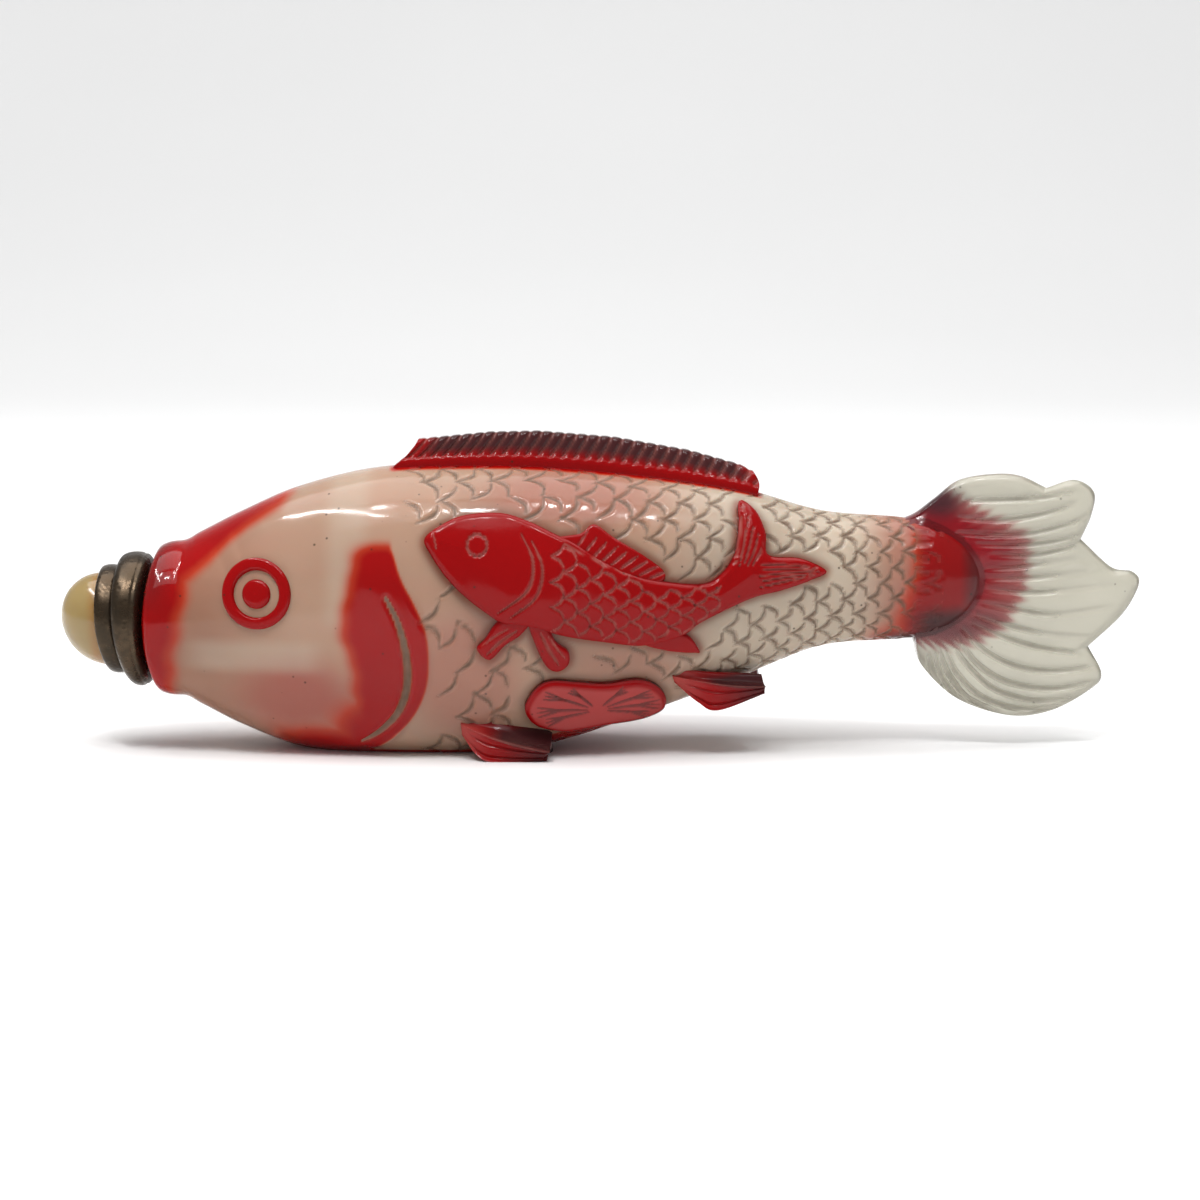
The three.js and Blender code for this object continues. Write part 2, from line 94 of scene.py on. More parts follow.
# Stopper: the lip and the collar bow toward the dome at their sides, and the collar's rings lean
MOUTH_BOW = 0.7
MOUTH_HALF = 6.8
MOUTH_GAP = 0.3
PLUG_LONG = 4.2
PLUG_RADIUS = 2.9
PLUG_BEVEL = 0.4
BIG_RING = 2.7
BIG_RING_FOOT = 5.0
BIG_RING_RISE = 1.72
END_RING = 1.9
END_RING_FOOT = 4.9
END_RING_RISE = 0.55
SEAT_DEPTH = 0.8
CABOCHON_SUNK = 0.6
LEAN = 0.085

EYE = (-33.3, 16.4)
EYE_RING_INNER = 2.25
EYE_RING_OUTER = 3.4
PUPIL_RADIUS = 1.4
GILL_GROOVE = [(-20.6, 16.2), (-19.4, 13.6), (-18.7, 10.4), (-18.7, 7.6), (-19.6, 5.0), (-21.4, 3.0),
               (-23.4, 1.7)]
GILL_EDGE = [(-20.0, 20.7), (-19.2, 17.8), (-17.9, 15.3), (-16.9, 12.6), (-16.7, 9.4), (-17.5, 6.0),
             (-18.9, 3.6), (-20.7, 1.6), (-23.0, 0.4)]
GILL_GROOVE_HALF = 0.62
GILL_GROOVE_DEPTH = 0.62
GILL_PLATE_RISE = 0.38
CHEEK_EDGE_Z = np.array([1, 4, 7, 10, 13, 15.5, 18, 20.8])
CHEEK_EDGE_X = np.array([-21.5, -18.6, -17.1, -16.7, -17.0, -18.0, -19.3, -20.2])

SMALL_CARP = [
    (-16.9, 21.7), (-15.4, 22.9), (-13.1, 23.8), (-9.7, 24.0), (-7.0, 23.3), (-4.1, 22.0), (-2.5, 21.3),
    (0.2, 19.7), (2.8, 18.5), (5.5, 17.8), (9.8, 17.4), (11.7, 18.4), (13.0, 20.2), (13.4, 22.7),
    (13.5, 24.6), (15.1, 23.7), (16.0, 21.9), (16.3, 19.9), (19.4, 19.5), (22.0, 18.3), (20.5, 17.5),
    (17.6, 16.6), (14.9, 16.0), (12.2, 14.9), (9.5, 13.6), (7.9, 12.5), (4.2, 11.6), (0.2, 12.0),
    (-3.5, 12.6), (-6.8, 13.5), (-9.4, 13.9), (-10.9, 14.8), (-13.0, 16.4), (-14.8, 18.2), (-16.3, 20.3),
]
CARP_EYE = (-11.8, 21.0)
CARP_EYE_RADIUS = 0.98
CARP_DORSAL = [(-4.3, 21.6), (-1.9, 22.2), (-0.6, 23.0), (1.3, 21.8), (4.2, 20.1), (6.2, 18.5), (5.5, 17.4),
               (2.8, 17.9), (-0.2, 19.4)]
CARP_PECTORAL = [(-9.6, 14.2), (-6.9, 14.0), (-7.7, 12.7), (-9.2, 11.7), (-10.7, 10.3), (-11.9, 11.4),
                 (-11.1, 12.4)]
CARP_PELVIC = [(-6.9, 14.0), (-5.2, 13.6), (-4.3, 12.1), (-3.1, 11.1), (-3.1, 9.8), (-4.1, 9.1),
               (-5.2, 9.6), (-6.2, 11.6)]
CARP_ANAL = [(4.2, 11.8), (7.9, 12.7), (9.6, 10.9), (9.0, 10.7), (6.3, 11.0)]
LEAF = [
    (-7.3, 5.8), (-6.2, 7.5), (-4.7, 8.2), (-2.1, 8.0), (0.5, 7.8), (3.5, 8.1), (5.3, 7.5), (6.3, 6.2),
    (6.1, 4.8), (4.1, 3.8), (0.5, 3.4), (-2.2, 3.0), (-3.9, 2.9), (-6.1, 3.5), (-7.1, 4.5),
]
LEAF_MIDDLE = (-0.4, 5.4)
# Ends of the leaf's veins, each with how wide its tip forks
LEAF_VEINS = [((-6.2, 5.2), 0.5), ((-5.5, 6.9), 0.4), ((-3.0, 7.4), 0.3), ((2.3, 7.4), 0.3),
              ((4.9, 6.9), 0.4), ((5.6, 5.7), 0.5), ((-5.4, 4.1), 0.4), ((4.6, 4.6), 0.4)]

# Back fin: where its foot and its top begin and how long they are, its levels, and the line of its top
DORSAL_FOOT = (-20.4, 36.0)
DORSAL_TOP = (-18.0, 33.2)
DORSAL_LEVELS = (-0.45, 0.0, 0.12, 0.22, 0.28, 0.34, 0.42, 0.5, 0.6, 0.7, 0.8, 0.9, 0.97, 1.0)
DORSAL_TOP_X = np.array([-18.0, -11.0, -6.0, 1.4, 8.8, 13.8, 15.2])
DORSAL_TOP_Z = np.array([30.8, 31.5, 31.6, 31.0, 29.7, 28.3, 27.6])
TAIL_LOBES = [
    [(29.0, 22.5), (31.2, 23.3), (33.3, 24.9), (35.7, 26.7), (39.2, 27.3), (41.8, 27.1), (44.4, 25.9)],
    [(44.4, 25.9), (47.2, 26.7), (49.1, 25.5), (48.9, 23.2), (47.9, 20.8)],
    [(47.9, 20.8), (51.0, 18.0), (53.2, 17.5), (53.8, 16.2), (52.2, 13.2), (48.9, 10.0)],
    [(48.9, 10.0), (50.3, 7.2), (49.2, 5.6), (45.4, 3.5), (41.2, 3.0), (35.9, 4.7), (32.3, 8.0),
     (31.4, 10.5)],
]
TAIL_RED = [(28.0, 25.6), (33.0, 26.3), (35.4, 25.7), (40.0, 23.2), (42.6, 21.8), (43.2, 20.1), (43.0, 16.7),
            (42.1, 14.1), (40.6, 11.9), (38.3, 10.4), (34.9, 9.7), (31.8, 10.0), (28.0, 10.5)]
TAIL_LINES = [
    [(36.3, 24.7), (39.8, 24.8), (43.7, 25.0), (47.6, 25.7)],
    [(35.7, 23.0), (39.8, 22.8), (43.7, 23.3), (47.1, 24.3)],
    [(35.5, 21.5), (39.1, 21.3), (43.0, 21.5), (46.7, 22.4), (48.2, 23.1)],
    [(37.5, 20.4), (41.4, 20.3), (44.9, 20.6), (48.0, 21.3)],
    [(39.1, 19.4), (43.0, 19.3), (46.1, 19.8), (47.8, 20.4)],
    [(38.5, 18.0), (41.4, 18.1), (44.9, 18.5), (49.5, 19.1)],
    [(38.7, 17.0), (41.8, 17.0), (45.3, 17.2), (51.0, 17.8)],
    [(38.7, 15.9), (42.2, 15.6), (46.1, 15.7), (51.5, 16.3)],
    [(38.3, 14.5), (41.4, 13.9), (45.3, 13.3), (51.0, 14.0)],
    [(37.7, 13.3), (40.6, 12.3), (44.9, 11.3), (49.5, 10.9)],
    [(37.3, 12.5), (39.8, 11.3), (43.4, 10.1), (48.0, 9.3)],
    [(36.3, 11.9), (38.3, 9.8), (41.4, 8.2), (45.3, 7.6), (49.6, 8.0)],
    [(35.7, 11.1), (37.5, 8.6), (40.6, 6.6), (45.3, 5.8), (49.5, 6.5)],
    [(35.2, 10.3), (36.7, 8.2), (39.5, 5.8), (43.7, 4.6), (48.0, 4.9)],
    [(34.4, 10.0), (35.7, 7.4), (38.3, 5.0), (42.2, 3.8), (46.5, 4.1)],
    [(33.8, 9.8), (34.8, 7.4), (36.7, 5.0), (39.8, 3.5)],
    [(33.4, 9.6), (34.0, 7.4), (35.4, 5.4), (37.5, 4.0)],
    [(32.8, 9.4), (33.1, 8.0), (34.1, 6.2)],
]
# First and last of the grooves that fade, the tail's root heights, and where its red rays start from
TAIL_FAINT = (5, 9)
TAIL_ROOT = (22.4, 11.4)
TAIL_FAN = (26, 16.8)
# Each fin under the belly: lines of its root on the flank, its fold and its hem
PELVIC_FIN = {
    "root": [(-13.8, -7.4, 4.6), (-9.8, -7.0, 3.9), (-6.0, -6.2, 2.9), (-4.7, -5.8, 2.3)],
    "ridge": [(-13.6, -8.2, 3.6), (-10.8, -9.4, 2.5), (-8.0, -9.8, 1.7), (-4.9, -9.7, 1.0)],
    "hem": [(-13.5, -8.0, 2.5), (-12.0, -8.9, 0.7), (-10.2, -9.2, 0.05), (-5.2, -9.1, 0.05)],
    "inner": 4.6, "thick": 1.5, "creases": 3,
}
ANAL_FIN = {
    "root": [(6.9, -6.3, 8.9), (10.6, -6.0, 8.4), (13.6, -5.4, 8.2), (15.9, -5.2, 8.0)],
    "ridge": [(7.1, -6.9, 8.1), (10.6, -7.4, 7.5), (13.6, -7.2, 7.1), (16.3, -6.4, 6.9)],
    "hem": [(7.3, -6.4, 7.4), (9.6, -7.0, 5.6), (11.6, -6.8, 4.8), (16.2, -6.0, 6.2)],
    "inner": 3.2, "thick": 1.2, "creases": 3,
}

# Pink that shows through the pale glass: middle, half sizes, start and full strength, and strength
BLUSHES = [
    ((-3, 25.5), (9.5, 3.2), (1.25, 0.4), 0.55),
    ((-13, 8), (5.5, 6.5), (1.3, 0.5), 0.45),
    ((3, 9), (7, 3.0), (1.3, 0.4), 0.3),
    ((-30, 6.2), (7.5, 4.6), (1.3, 0.35), 0.9),
]

# Tints that are mixed into the main colours, as linear light
BLUSH = (0.42, 0.12, 0.09)
NOSE_BROWN = (0.34, 0.16, 0.1)
# Lighter yellowish glass, also used for a painted reflection behind the eye
MILK_AND_REFLECTION_TINT = (0.60, 0.51, 0.40)
WARM_DRIFT = (0.52, 0.27, 0.2)
DULL_DRIFT = (0.42, 0.34, 0.25)
# Darker brown for a thin ring round the feet of the reliefs
RELIEF_FOOT_DARK = (0.2, 0.13, 0.085)
RELIEF_DUST = (0.34, 0.11, 0.09)
RELIEF_PINK = (0.41, 0.06, 0.055)
TAIL_DUST = (0.34, 0.31, 0.25)
TAIL_THIN_RED = (0.33, 0.085, 0.08)
TAIL_RED_GLASS = (0.26, 0.004, 0.01)
TAIL_SMOKE = (0.05, 0.016, 0.022)
TARNISH = (0.04, 0.03, 0.02)
WORN_METAL = (0.15, 0.115, 0.075)
CABOCHON_EDGE = (0.35, 0.19, 0.06)
SPECK_COLOUR = (0.03, 0.018, 0.012)
# Height of the waves that hand polish leaves, and of the metal's pits, in metres
GLASS_WAVE = 0.00004
METAL_PITS = 0.00006


class CarpSizes(PropertyGroup):
    """Sizes of the carving, in metres"""

    scale_length: FloatProperty(
        name="Scale length", description="Distance from one scale to the next along the body",
        default=0.0034, unit="LENGTH")
    scale_height: FloatProperty(
        name="Scale height", description="Height of one scale round the body", default=0.0049, unit="LENGTH")
    cut_depth: FloatProperty(
        name="Cut depth", description="Depth of the cut lines of the scales", default=0.0002, unit="LENGTH")
    cut_width: FloatProperty(
        name="Cut width", description="Width of a cut line at its widest", default=0.00056, unit="LENGTH")
    carp_relief: FloatProperty(
        name="Small carp relief", description="Height of the small carps", default=0.0012, unit="LENGTH")
    fin_relief: FloatProperty(
        name="Small fin relief", description="Height of the small carps' fins", default=0.0008,
        unit="LENGTH")
    leaf_relief: FloatProperty(
        name="Leaf relief", description="Height of the lotus leaves", default=0.0009, unit="LENGTH")
    eye_relief: FloatProperty(
        name="Eye relief", description="Height of the eye rings", default=0.00045, unit="LENGTH")
    dorsal_rays: IntProperty(
        name="Dorsal rays", description="Number of rays along the back fin", default=30, min=4)
    tail_groove_depth: FloatProperty(
        name="Tail groove depth", description="Depth of the tail's ray grooves", default=0.00032,
        unit="LENGTH")


class CarpColours(PropertyGroup):
    """Colours of the glass, the metal and the cabochon, as linear light"""

    pale: FloatVectorProperty(
        name="Pale glass", description="The ground glass", subtype="COLOR", size=3,
        default=(0.50, 0.315, 0.22))
    red: FloatVectorProperty(
        name="Red overlay", description="The red glass where it is thick", subtype="COLOR", size=3,
        default=(0.37, 0.0015, 0.002))
    crimson: FloatVectorProperty(
        name="Crimson", description="Deepens the red of the raised carving", subtype="COLOR", size=3,
        default=(0.68, 0.75, 1.0))
    orange: FloatVectorProperty(
        name="Thin overlay", description="The red glass where it thins out", subtype="COLOR", size=3,
        default=(0.50, 0.045, 0.016))
    smoke: FloatVectorProperty(
        name="Smoky glass", description="The dark glass at the fins' tips", subtype="COLOR", size=3,
        default=(0.04, 0.016, 0.017))
    cut: FloatVectorProperty(
        name="Cut lines", description="Frosted cut lines with old dust in them", subtype="COLOR", size=3,
        default=(0.185, 0.115, 0.075))
    clear: FloatVectorProperty(
        name="Clear glass", description="The glass of the tail", subtype="COLOR", size=3,
        default=(0.60, 0.575, 0.48))
    metal: FloatVectorProperty(
        name="Collar metal", description="Dull dark metal of the collar", subtype="COLOR", size=3,
        default=(0.075, 0.05, 0.03))
    cabochon: FloatVectorProperty(
        name="Cabochon", description="Pale stone of the stopper's dome", subtype="COLOR", size=3,
        default=(0.34, 0.242, 0.095))


class CarpStage(PropertyGroup):
    """Camera and light"""

    distance: FloatProperty(
        name="Distance", description="Camera's distance from the middle", default=0.28, unit="LENGTH")
    elevation: FloatProperty(
        name="Elevation", description="How far the camera looks down", default=math.radians(8),
        subtype="ANGLE")
    view_width: FloatProperty(
        name="View width", description="Width of the view at the middle", default=0.12, unit="LENGTH")
    view_height: FloatProperty(
        name="View height", description="Height that the camera looks at", default=0.01465, unit="LENGTH")
    sky: FloatProperty(
        name="Sky", description="Strength of the even light", default=0.33)
    lamps: FloatProperty(
        name="Lamps", description="Power of the small lamps overhead, in watts", default=0.34, unit="POWER")
    soft_top: FloatProperty(
        name="Soft light above", description="Power of the wide lamp above, in watts", default=6.2,
        unit="POWER")
    soft_front: FloatProperty(
        name="Soft light in front", description="Power of the wide lamp in front, in watts", default=2.6,
        unit="POWER")


# Curves and the body's surface

def through(places, values, x):
    """Values on a smooth line through the given ones"""
    slopes = np.empty(len(values))
    slopes[1:-1] = (values[2:] - values[:-2]) / (places[2:] - places[:-2])
    slopes[0] = (values[1] - values[0]) / (places[1] - places[0])
    slopes[-1] = (values[-1] - values[-2]) / (places[-1] - places[-2])
    i = np.clip(np.searchsorted(places, x) - 1, 0, len(places) - 2)
    width = places[i + 1] - places[i]
    t = (x - places[i]) / width
    start = (2 * t**3 - 3 * t**2 + 1) * values[i] + (t**3 - 2 * t**2 + t) * width * slopes[i]
    return start + (3 * t**2 - 2 * t**3) * values[i + 1] + (t**3 - t**2) * width * slopes[i + 1]


def ease(value, low, high):
    """0 below low and 1 above high, with a smooth rise between; low may be the greater"""
    t = np.clip((value - low) / (high - low), 0, 1)
    return t * t * (3 - 2 * t)


def rounding(x, end, length):
    """1 along the body, and down to 0 in a round end of that length"""
    into = np.clip(length - np.abs(end - x), 0, None) / length
    return np.sqrt(np.clip(1 - into * into, 0, None))


def section(x):
    """Middle height, half height, half width and fullness of the body at each place"""
    back = through(SECTION_X, SECTION_BACK, x)
    belly = through(SECTION_X, SECTION_BELLY, x)
    closing = rounding(x, BODY_END_X, BODY_END_ROUND)
    from_lip = np.clip(LIP_ROUND - (x - MOUTH_X), 0, None)
    lip = LIP_ROUND - np.sqrt(np.clip(LIP_ROUND**2 - from_lip**2, 0, None))
    tall = (back - belly) / 2 * closing - lip
    half = through(SECTION_X, SECTION_HALF, x) * closing - lip
    return (back + belly) / 2, tall, half, through(SECTION_X, SECTION_FULL, x)


def signed_power(value, power):
    """A power that keeps the sign of its value"""
    return np.sign(value) * np.abs(value) ** power


def skin_point(x, angle):
    """Points on the skin; angle 0 is the near flank and a quarter turn the back"""
    middle, tall, half, full = section(x)
    across = signed_power(np.cos(angle), 2 / full)
    up = signed_power(np.sin(angle), 2 / full)
    return np.stack([x + 0 * angle, -half * across, middle + tall * up], axis=-1)


def skin_normal(x, angle):
    """The direction straight out of the skin"""
    step = 0.04
    along = skin_point(x + step, angle) - skin_point(x - step, angle)
    around = skin_point(x, angle + step) - skin_point(x, angle - step)
    normal = np.cross(along, around)
    size = np.linalg.norm(normal, axis=-1, keepdims=True)
    return normal / np.maximum(size, 1e-9)


def flank_angle(x, z):
    """The angle at which the near flank has that height"""
    middle, tall, _, full = section(x)
    q = np.clip((z - middle) / tall, -0.9995, 0.9995)
    return np.arcsin(signed_power(q, full / 2))


def span(before, a, b, after, t):
    """The smooth stretch from a to b, at shares t of it"""
    return (a + 0.5 * t * (b - before) + t**2 * (before - 2.5 * a + 2 * b - 0.5 * after)
            + t**3 * (1.5 * (a - b) + 0.5 * (after - before)))


def smooth_line(points, spacing, closed=False):
    """A smooth line through points, as points about that far apart"""
    p = np.array(points, float)
    count = len(p)
    spans = count if closed else count - 1
    out = []
    for i in range(spans):
        a, b = p[i], p[(i + 1) % count]
        before = p[(i - 1) % count] if closed or i > 0 else 2 * a - b
        after = p[(i + 2) % count] if closed or i < count - 2 else 2 * b - a
        steps = max(2, int(np.linalg.norm(b - a) / spacing))
        out.append(span(before, a, b, after, np.linspace(0, 1, steps, endpoint=False)[:, None]))
    line = np.concatenate(out)
    return line if closed else np.vstack([line, p[-1]])


def run_along(line):
    """How far along a line each of its points is"""
    return np.concatenate([[0], np.cumsum(np.linalg.norm(np.diff(line, axis=0), axis=1))])


def even_points(line, count):
    """That many points at even steps along a line"""
    run = run_along(line)
    even = np.linspace(0, run[-1], count)
    return np.stack([np.interp(even, run, column) for column in line.T], axis=1)


def line_distance(points, line, closed=False):
    """Distance from each point to a line, and how far along the line it is, from 0 to 1"""
    ends = np.vstack([line, line[:1]]) if closed else line
    best = np.full(len(points), 1e9)
    place = np.zeros(len(points))
    for k in range(len(ends) - 1):
        a, b = ends[k], ends[k + 1]
        run = b - a
        t = np.clip(((points - a) @ run) / max(run @ run, 1e-12), 0, 1)
        d = np.linalg.norm(points - a - t[:, None] * run, axis=1)
        nearer = d < best
        best[nearer] = d[nearer]
        place[nearer] = (k + t[nearer]) / (len(ends) - 1)
    return best, place


def inside(points, loop):
    """Which points lie inside a closed loop"""
    x, y = points[:, 0], points[:, 1]
    result = np.zeros(len(points), bool)
    nxt = np.roll(loop, -1, axis=0)
    for (ax, ay), (bx, by) in zip(loop, nxt):
        crosses = (ay > y) != (by > y)
        where = ax + (y - ay) * (bx - ax) / (by - ay if by != ay else 1e-12)
        result ^= crosses & (x < where)
    return result


# Meshes

def make_mesh(name, points_mm, faces, masks=None):
    """A smooth-shaded object from points in millimetres, with its masks as attributes"""
    mesh = bpy.data.meshes.new(name)
    mesh.from_pydata((np.asarray(points_mm) * MM).tolist(), [], faces)
    for key, values in (masks or {}).items():
        layer = mesh.attributes.new(key, "FLOAT", "POINT")
        layer.data.foreach_set("value", np.asarray(values, np.float32))
    mesh.shade_smooth()
    mesh.update()
    thing = bpy.data.objects.new(name, mesh)
    bpy.context.scene.collection.objects.link(thing)
    return thing


def ring_faces(rows, columns):
    """Quads between rings of like points, each ring closed on itself"""
    faces = []
    for i in range(rows - 1):
        for j in range(columns):
            a = i * columns + j
            b = i * columns + (j + 1) % columns
            faces.append((a, b, b + columns, a + columns))
    return faces


def outward(thing):
    """Makes the faces of a closed object point outwards"""
    mesh = thing.data
    mesh.calc_loop_triangles()
    corners = np.empty(len(mesh.vertices) * 3)
    mesh.vertices.foreach_get("co", corners)
    corners = corners.reshape(-1, 3)
    triangles = np.empty(len(mesh.loop_triangles) * 3, int)
    mesh.loop_triangles.foreach_get("vertices", triangles)
    a, b, c = (corners[triangles.reshape(-1, 3)[:, k]] for k in range(3))
    if np.einsum("ij,ij->", a, np.cross(b, c)) < 0:
        mesh.flip_normals()
    return thing


def dress(thing, material, slot, *nodes):
    """Gives a piece its material and body, and hides the imported parts that it stands for; its slot is not
    used
    """
    thing.data.materials.clear()
    thing.data.materials.append(material)
    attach(thing, "root")
    if nodes:
        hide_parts(*nodes)
    return thing


# Shader helpers

def node(tree, kind, **values):
    """A new node with its settings"""
    made = tree.nodes.new(kind)
    for key, value in values.items():
        setattr(made, key, value)
    return made


def feed(tree, socket, value):
    """Links a socket, or sets a plain value"""
    if isinstance(value, bpy.types.NodeSocket):
        tree.links.new(value, socket)
    elif hasattr(value, "__len__") and len(value) == 3 and socket.type == "RGBA":
        socket.default_value = (*value, 1)
    else:
        socket.default_value = value


def mix(tree, factor, a, b, blend="MIX"):
    """Colour a turned into colour b by a factor"""
    made = node(tree, "ShaderNodeMix", data_type="RGBA", blend_type=blend)
    feed(tree, made.inputs[0], factor)
    feed(tree, made.inputs[6], a)
    feed(tree, made.inputs[7], b)
    return made.outputs[2]


def math_node(tree, operation, a, b=0.0, clamp=False):
    """A sum, product or other result of two values"""
    made = node(tree, "ShaderNodeMath", operation=operation, use_clamp=clamp)
    feed(tree, made.inputs[0], a)
    feed(tree, made.inputs[1], b)
    return made.outputs[0]


def mapped(tree, value, low, high, to_low=0.0, to_high=1.0):
    """A value eased from one range to another"""
    made = node(tree, "ShaderNodeMapRange")
    made.interpolation_type = "SMOOTHSTEP"
    for socket, number in zip(made.inputs, (value, low, high, to_low, to_high)):
        feed(tree, socket, number)
    return made.outputs[0]


def attribute(tree, name):
    """One of the piece's own masks"""
    return node(tree, "ShaderNodeAttribute", attribute_name=name).outputs["Fac"]


def noise(tree, scale, detail=3.0, roughness=0.5, coordinates=None):
    """Cloudy noise fixed to the piece"""
    made = node(tree, "ShaderNodeTexNoise")
    made.inputs["Scale"].default_value = scale
    made.inputs["Detail"].default_value = detail
    made.inputs["Roughness"].default_value = roughness
    place = coordinates or node(tree, "ShaderNodeTexCoord").outputs["Object"]
    tree.links.new(place, made.inputs["Vector"])
    return made.outputs["Fac"]


def new_group(name, inputs, outputs):
    """A shader node group with named sockets, or the one that is already there"""
    group = bpy.data.node_groups.get(name)
    if group:
        return group, None, None
    group = bpy.data.node_groups.new(name, "ShaderNodeTree")
    for label, kind, default in inputs:
        socket = group.interface.new_socket(label, in_out="INPUT", socket_type=kind)
        socket.default_value = (*default, 1) if kind == "NodeSocketColor" else default
    for label, kind in outputs:
        group.interface.new_socket(label, in_out="OUTPUT", socket_type=kind)
    return group, group.nodes.new("NodeGroupInput"), group.nodes.new("NodeGroupOutput")


def specks_group():
    """Tiny dark specks inside the glass, and soft clouds in it"""
    group, given, out = new_group(
        "Specks and clouds",
        [("Colour", "NodeSocketColor", (0.5, 0.5, 0.5)), ("Speck scale", "NodeSocketFloat", 900.0),
         ("Speck share", "NodeSocketFloat", 0.2), ("Cloud scale", "NodeSocketFloat", 90.0),
         ("Cloud depth", "NodeSocketFloat", 0.3)],
        [("Colour", "NodeSocketColor")])
    if given is None:
        return group
    place = node(group, "ShaderNodeTexCoord").outputs["Object"]
    cells = node(group, "ShaderNodeTexVoronoi", feature="F1")
    group.links.new(place, cells.inputs["Vector"])
    group.links.new(given.outputs["Speck scale"], cells.inputs["Scale"])
    near = mapped(group, cells.outputs["Distance"], 0.16, 0.05)
    chosen = node(group, "ShaderNodeSeparateColor")
    group.links.new(cells.outputs["Color"], chosen.inputs["Color"])
    kept = math_node(group, "LESS_THAN", chosen.outputs[0], given.outputs["Speck share"])
    speck = math_node(group, "MULTIPLY", near, kept)
    cloud = node(group, "ShaderNodeTexNoise")
    group.links.new(place, cloud.inputs["Vector"])
    group.links.new(given.outputs["Cloud scale"], cloud.inputs["Scale"])
    cloud.inputs["Detail"].default_value = 2.0
    lift = math_node(group, "SUBTRACT", cloud.outputs["Fac"], 0.5)
    lift = math_node(group, "MULTIPLY", lift, given.outputs["Cloud depth"])
    lift = math_node(group, "ADD", lift, 1.0)
    shaded = node(group, "ShaderNodeVectorMath", operation="SCALE")
    group.links.new(given.outputs["Colour"], shaded.inputs[0])
    group.links.new(lift, shaded.inputs["Scale"])
    result = mix(group, math_node(group, "MULTIPLY", speck, 0.75), shaded.outputs[0], SPECK_COLOUR)
    group.links.new(result, out.inputs["Colour"])
    return group


def cuts_group():
    """Frosted cut lines: their dusty colour and their duller finish, uneven along the cut"""
    group, given, out = new_group(
        "Frosted cuts",
        [("Colour", "NodeSocketColor", (0.5, 0.5, 0.5)), ("Cut", "NodeSocketFloat", 0.0),
         ("Dust", "NodeSocketColor", (0.2, 0.15, 0.1)), ("Amount", "NodeSocketFloat", 0.8),
         ("Polish", "NodeSocketFloat", 0.1)],
        [("Colour", "NodeSocketColor"), ("Roughness", "NodeSocketFloat")])
    if given is None:
        return group
    uneven = mapped(group, noise(group, 900.0, 3.0), 0.3, 0.7, 0.65, 1.0)
    amount = math_node(group, "MULTIPLY", given.outputs["Cut"], given.outputs["Amount"])
    amount = math_node(group, "MULTIPLY", amount, uneven, clamp=True)
    group.links.new(mix(group, amount, given.outputs["Colour"], given.outputs["Dust"]), out.inputs["Colour"])
    smear = mapped(group, noise(group, 260.0, 4.0), 0.35, 0.7, 0.0, 0.06)
    rough = math_node(group, "ADD", given.outputs["Polish"], smear)
    dull = math_node(group, "MULTIPLY", given.outputs["Cut"], 0.32)
    group.links.new(math_node(group, "ADD", rough, dull, clamp=True), out.inputs["Roughness"])
    return group


def unevenness_group():
    """The slight waviness that hand grinding and polishing leave on glass"""
    group, given, out = new_group(
        "Hand polish",
        [("Wave scale", "NodeSocketFloat", 160.0), ("Fine scale", "NodeSocketFloat", 1400.0),
         ("Fine share", "NodeSocketFloat", 0.15)],
        [("Height", "NodeSocketFloat")])
    if given is None:
        return group
    place = node(group, "ShaderNodeTexCoord").outputs["Object"]
    heights = []
    for key in ("Wave scale", "Fine scale"):
        texture = node(group, "ShaderNodeTexNoise")
        group.links.new(place, texture.inputs["Vector"])
        group.links.new(given.outputs[key], texture.inputs["Scale"])
        texture.inputs["Detail"].default_value = 1.0
        heights.append(texture.outputs["Fac"])
    fine = math_node(group, "MULTIPLY", heights[1], given.outputs["Fine share"])
    group.links.new(math_node(group, "ADD", heights[0], fine), out.inputs["Height"])
    return group


def place_group(tree, group, **values):
    """A node group in a material, with its own values"""
    made = node(tree, "ShaderNodeGroup", node_tree=group)
    for key, value in values.items():
        feed(tree, made.inputs[key.replace("_", " ")], value)
    return made


def new_material(name, **plain):
    """A material and its Principled shader, with plain values on the sockets"""
    material = bpy.data.materials.new(name)
    material.use_nodes = True
    shader = material.node_tree.nodes["Principled BSDF"]
    for key, value in plain.items():
        feed(material.node_tree, shader.inputs[key.replace("_", " ")], value)
    return material, material.node_tree, shader


def add_bump(tree, shader, height, strength, distance):
    """Turns a height into the shader's normal"""
    bump = node(tree, "ShaderNodeBump")
    bump.inputs["Strength"].default_value = strength
    bump.inputs["Distance"].default_value = distance
    tree.links.new(height, bump.inputs["Height"])
    tree.links.new(bump.outputs["Normal"], shader.inputs["Normal"])


def finish_glass(tree, shader, colour, dull_tint, polish, amount):
    """Adds the cut lines, specks and hand polish that all the glass shares"""
    cut = attribute(tree, "cut")
    cuts = place_group(tree, cuts_group(), Colour=colour, Cut=cut, Dust=dull_tint, Amount=amount, Polish=polish)
    tree.links.new(cuts.outputs["Roughness"], shader.inputs["Roughness"])
    specks = place_group(tree, specks_group(), Colour=cuts.outputs["Colour"])
    tree.links.new(specks.outputs["Colour"], shader.inputs["Base Color"])
    add_bump(tree, shader, place_group(tree, unevenness_group()).outputs["Height"], 1.0, GLASS_WAVE)


def overlay_colour(tree, base, overlay, colours):
    """Pale glass to orange to deep red as the overlay thickens"""
    thin = mix(tree, mapped(tree, overlay, 0.0, 0.5), base, tuple(colours.orange))
    return mix(tree, mapped(tree, overlay, 0.32, 0.8), thin, tuple(colours.red))


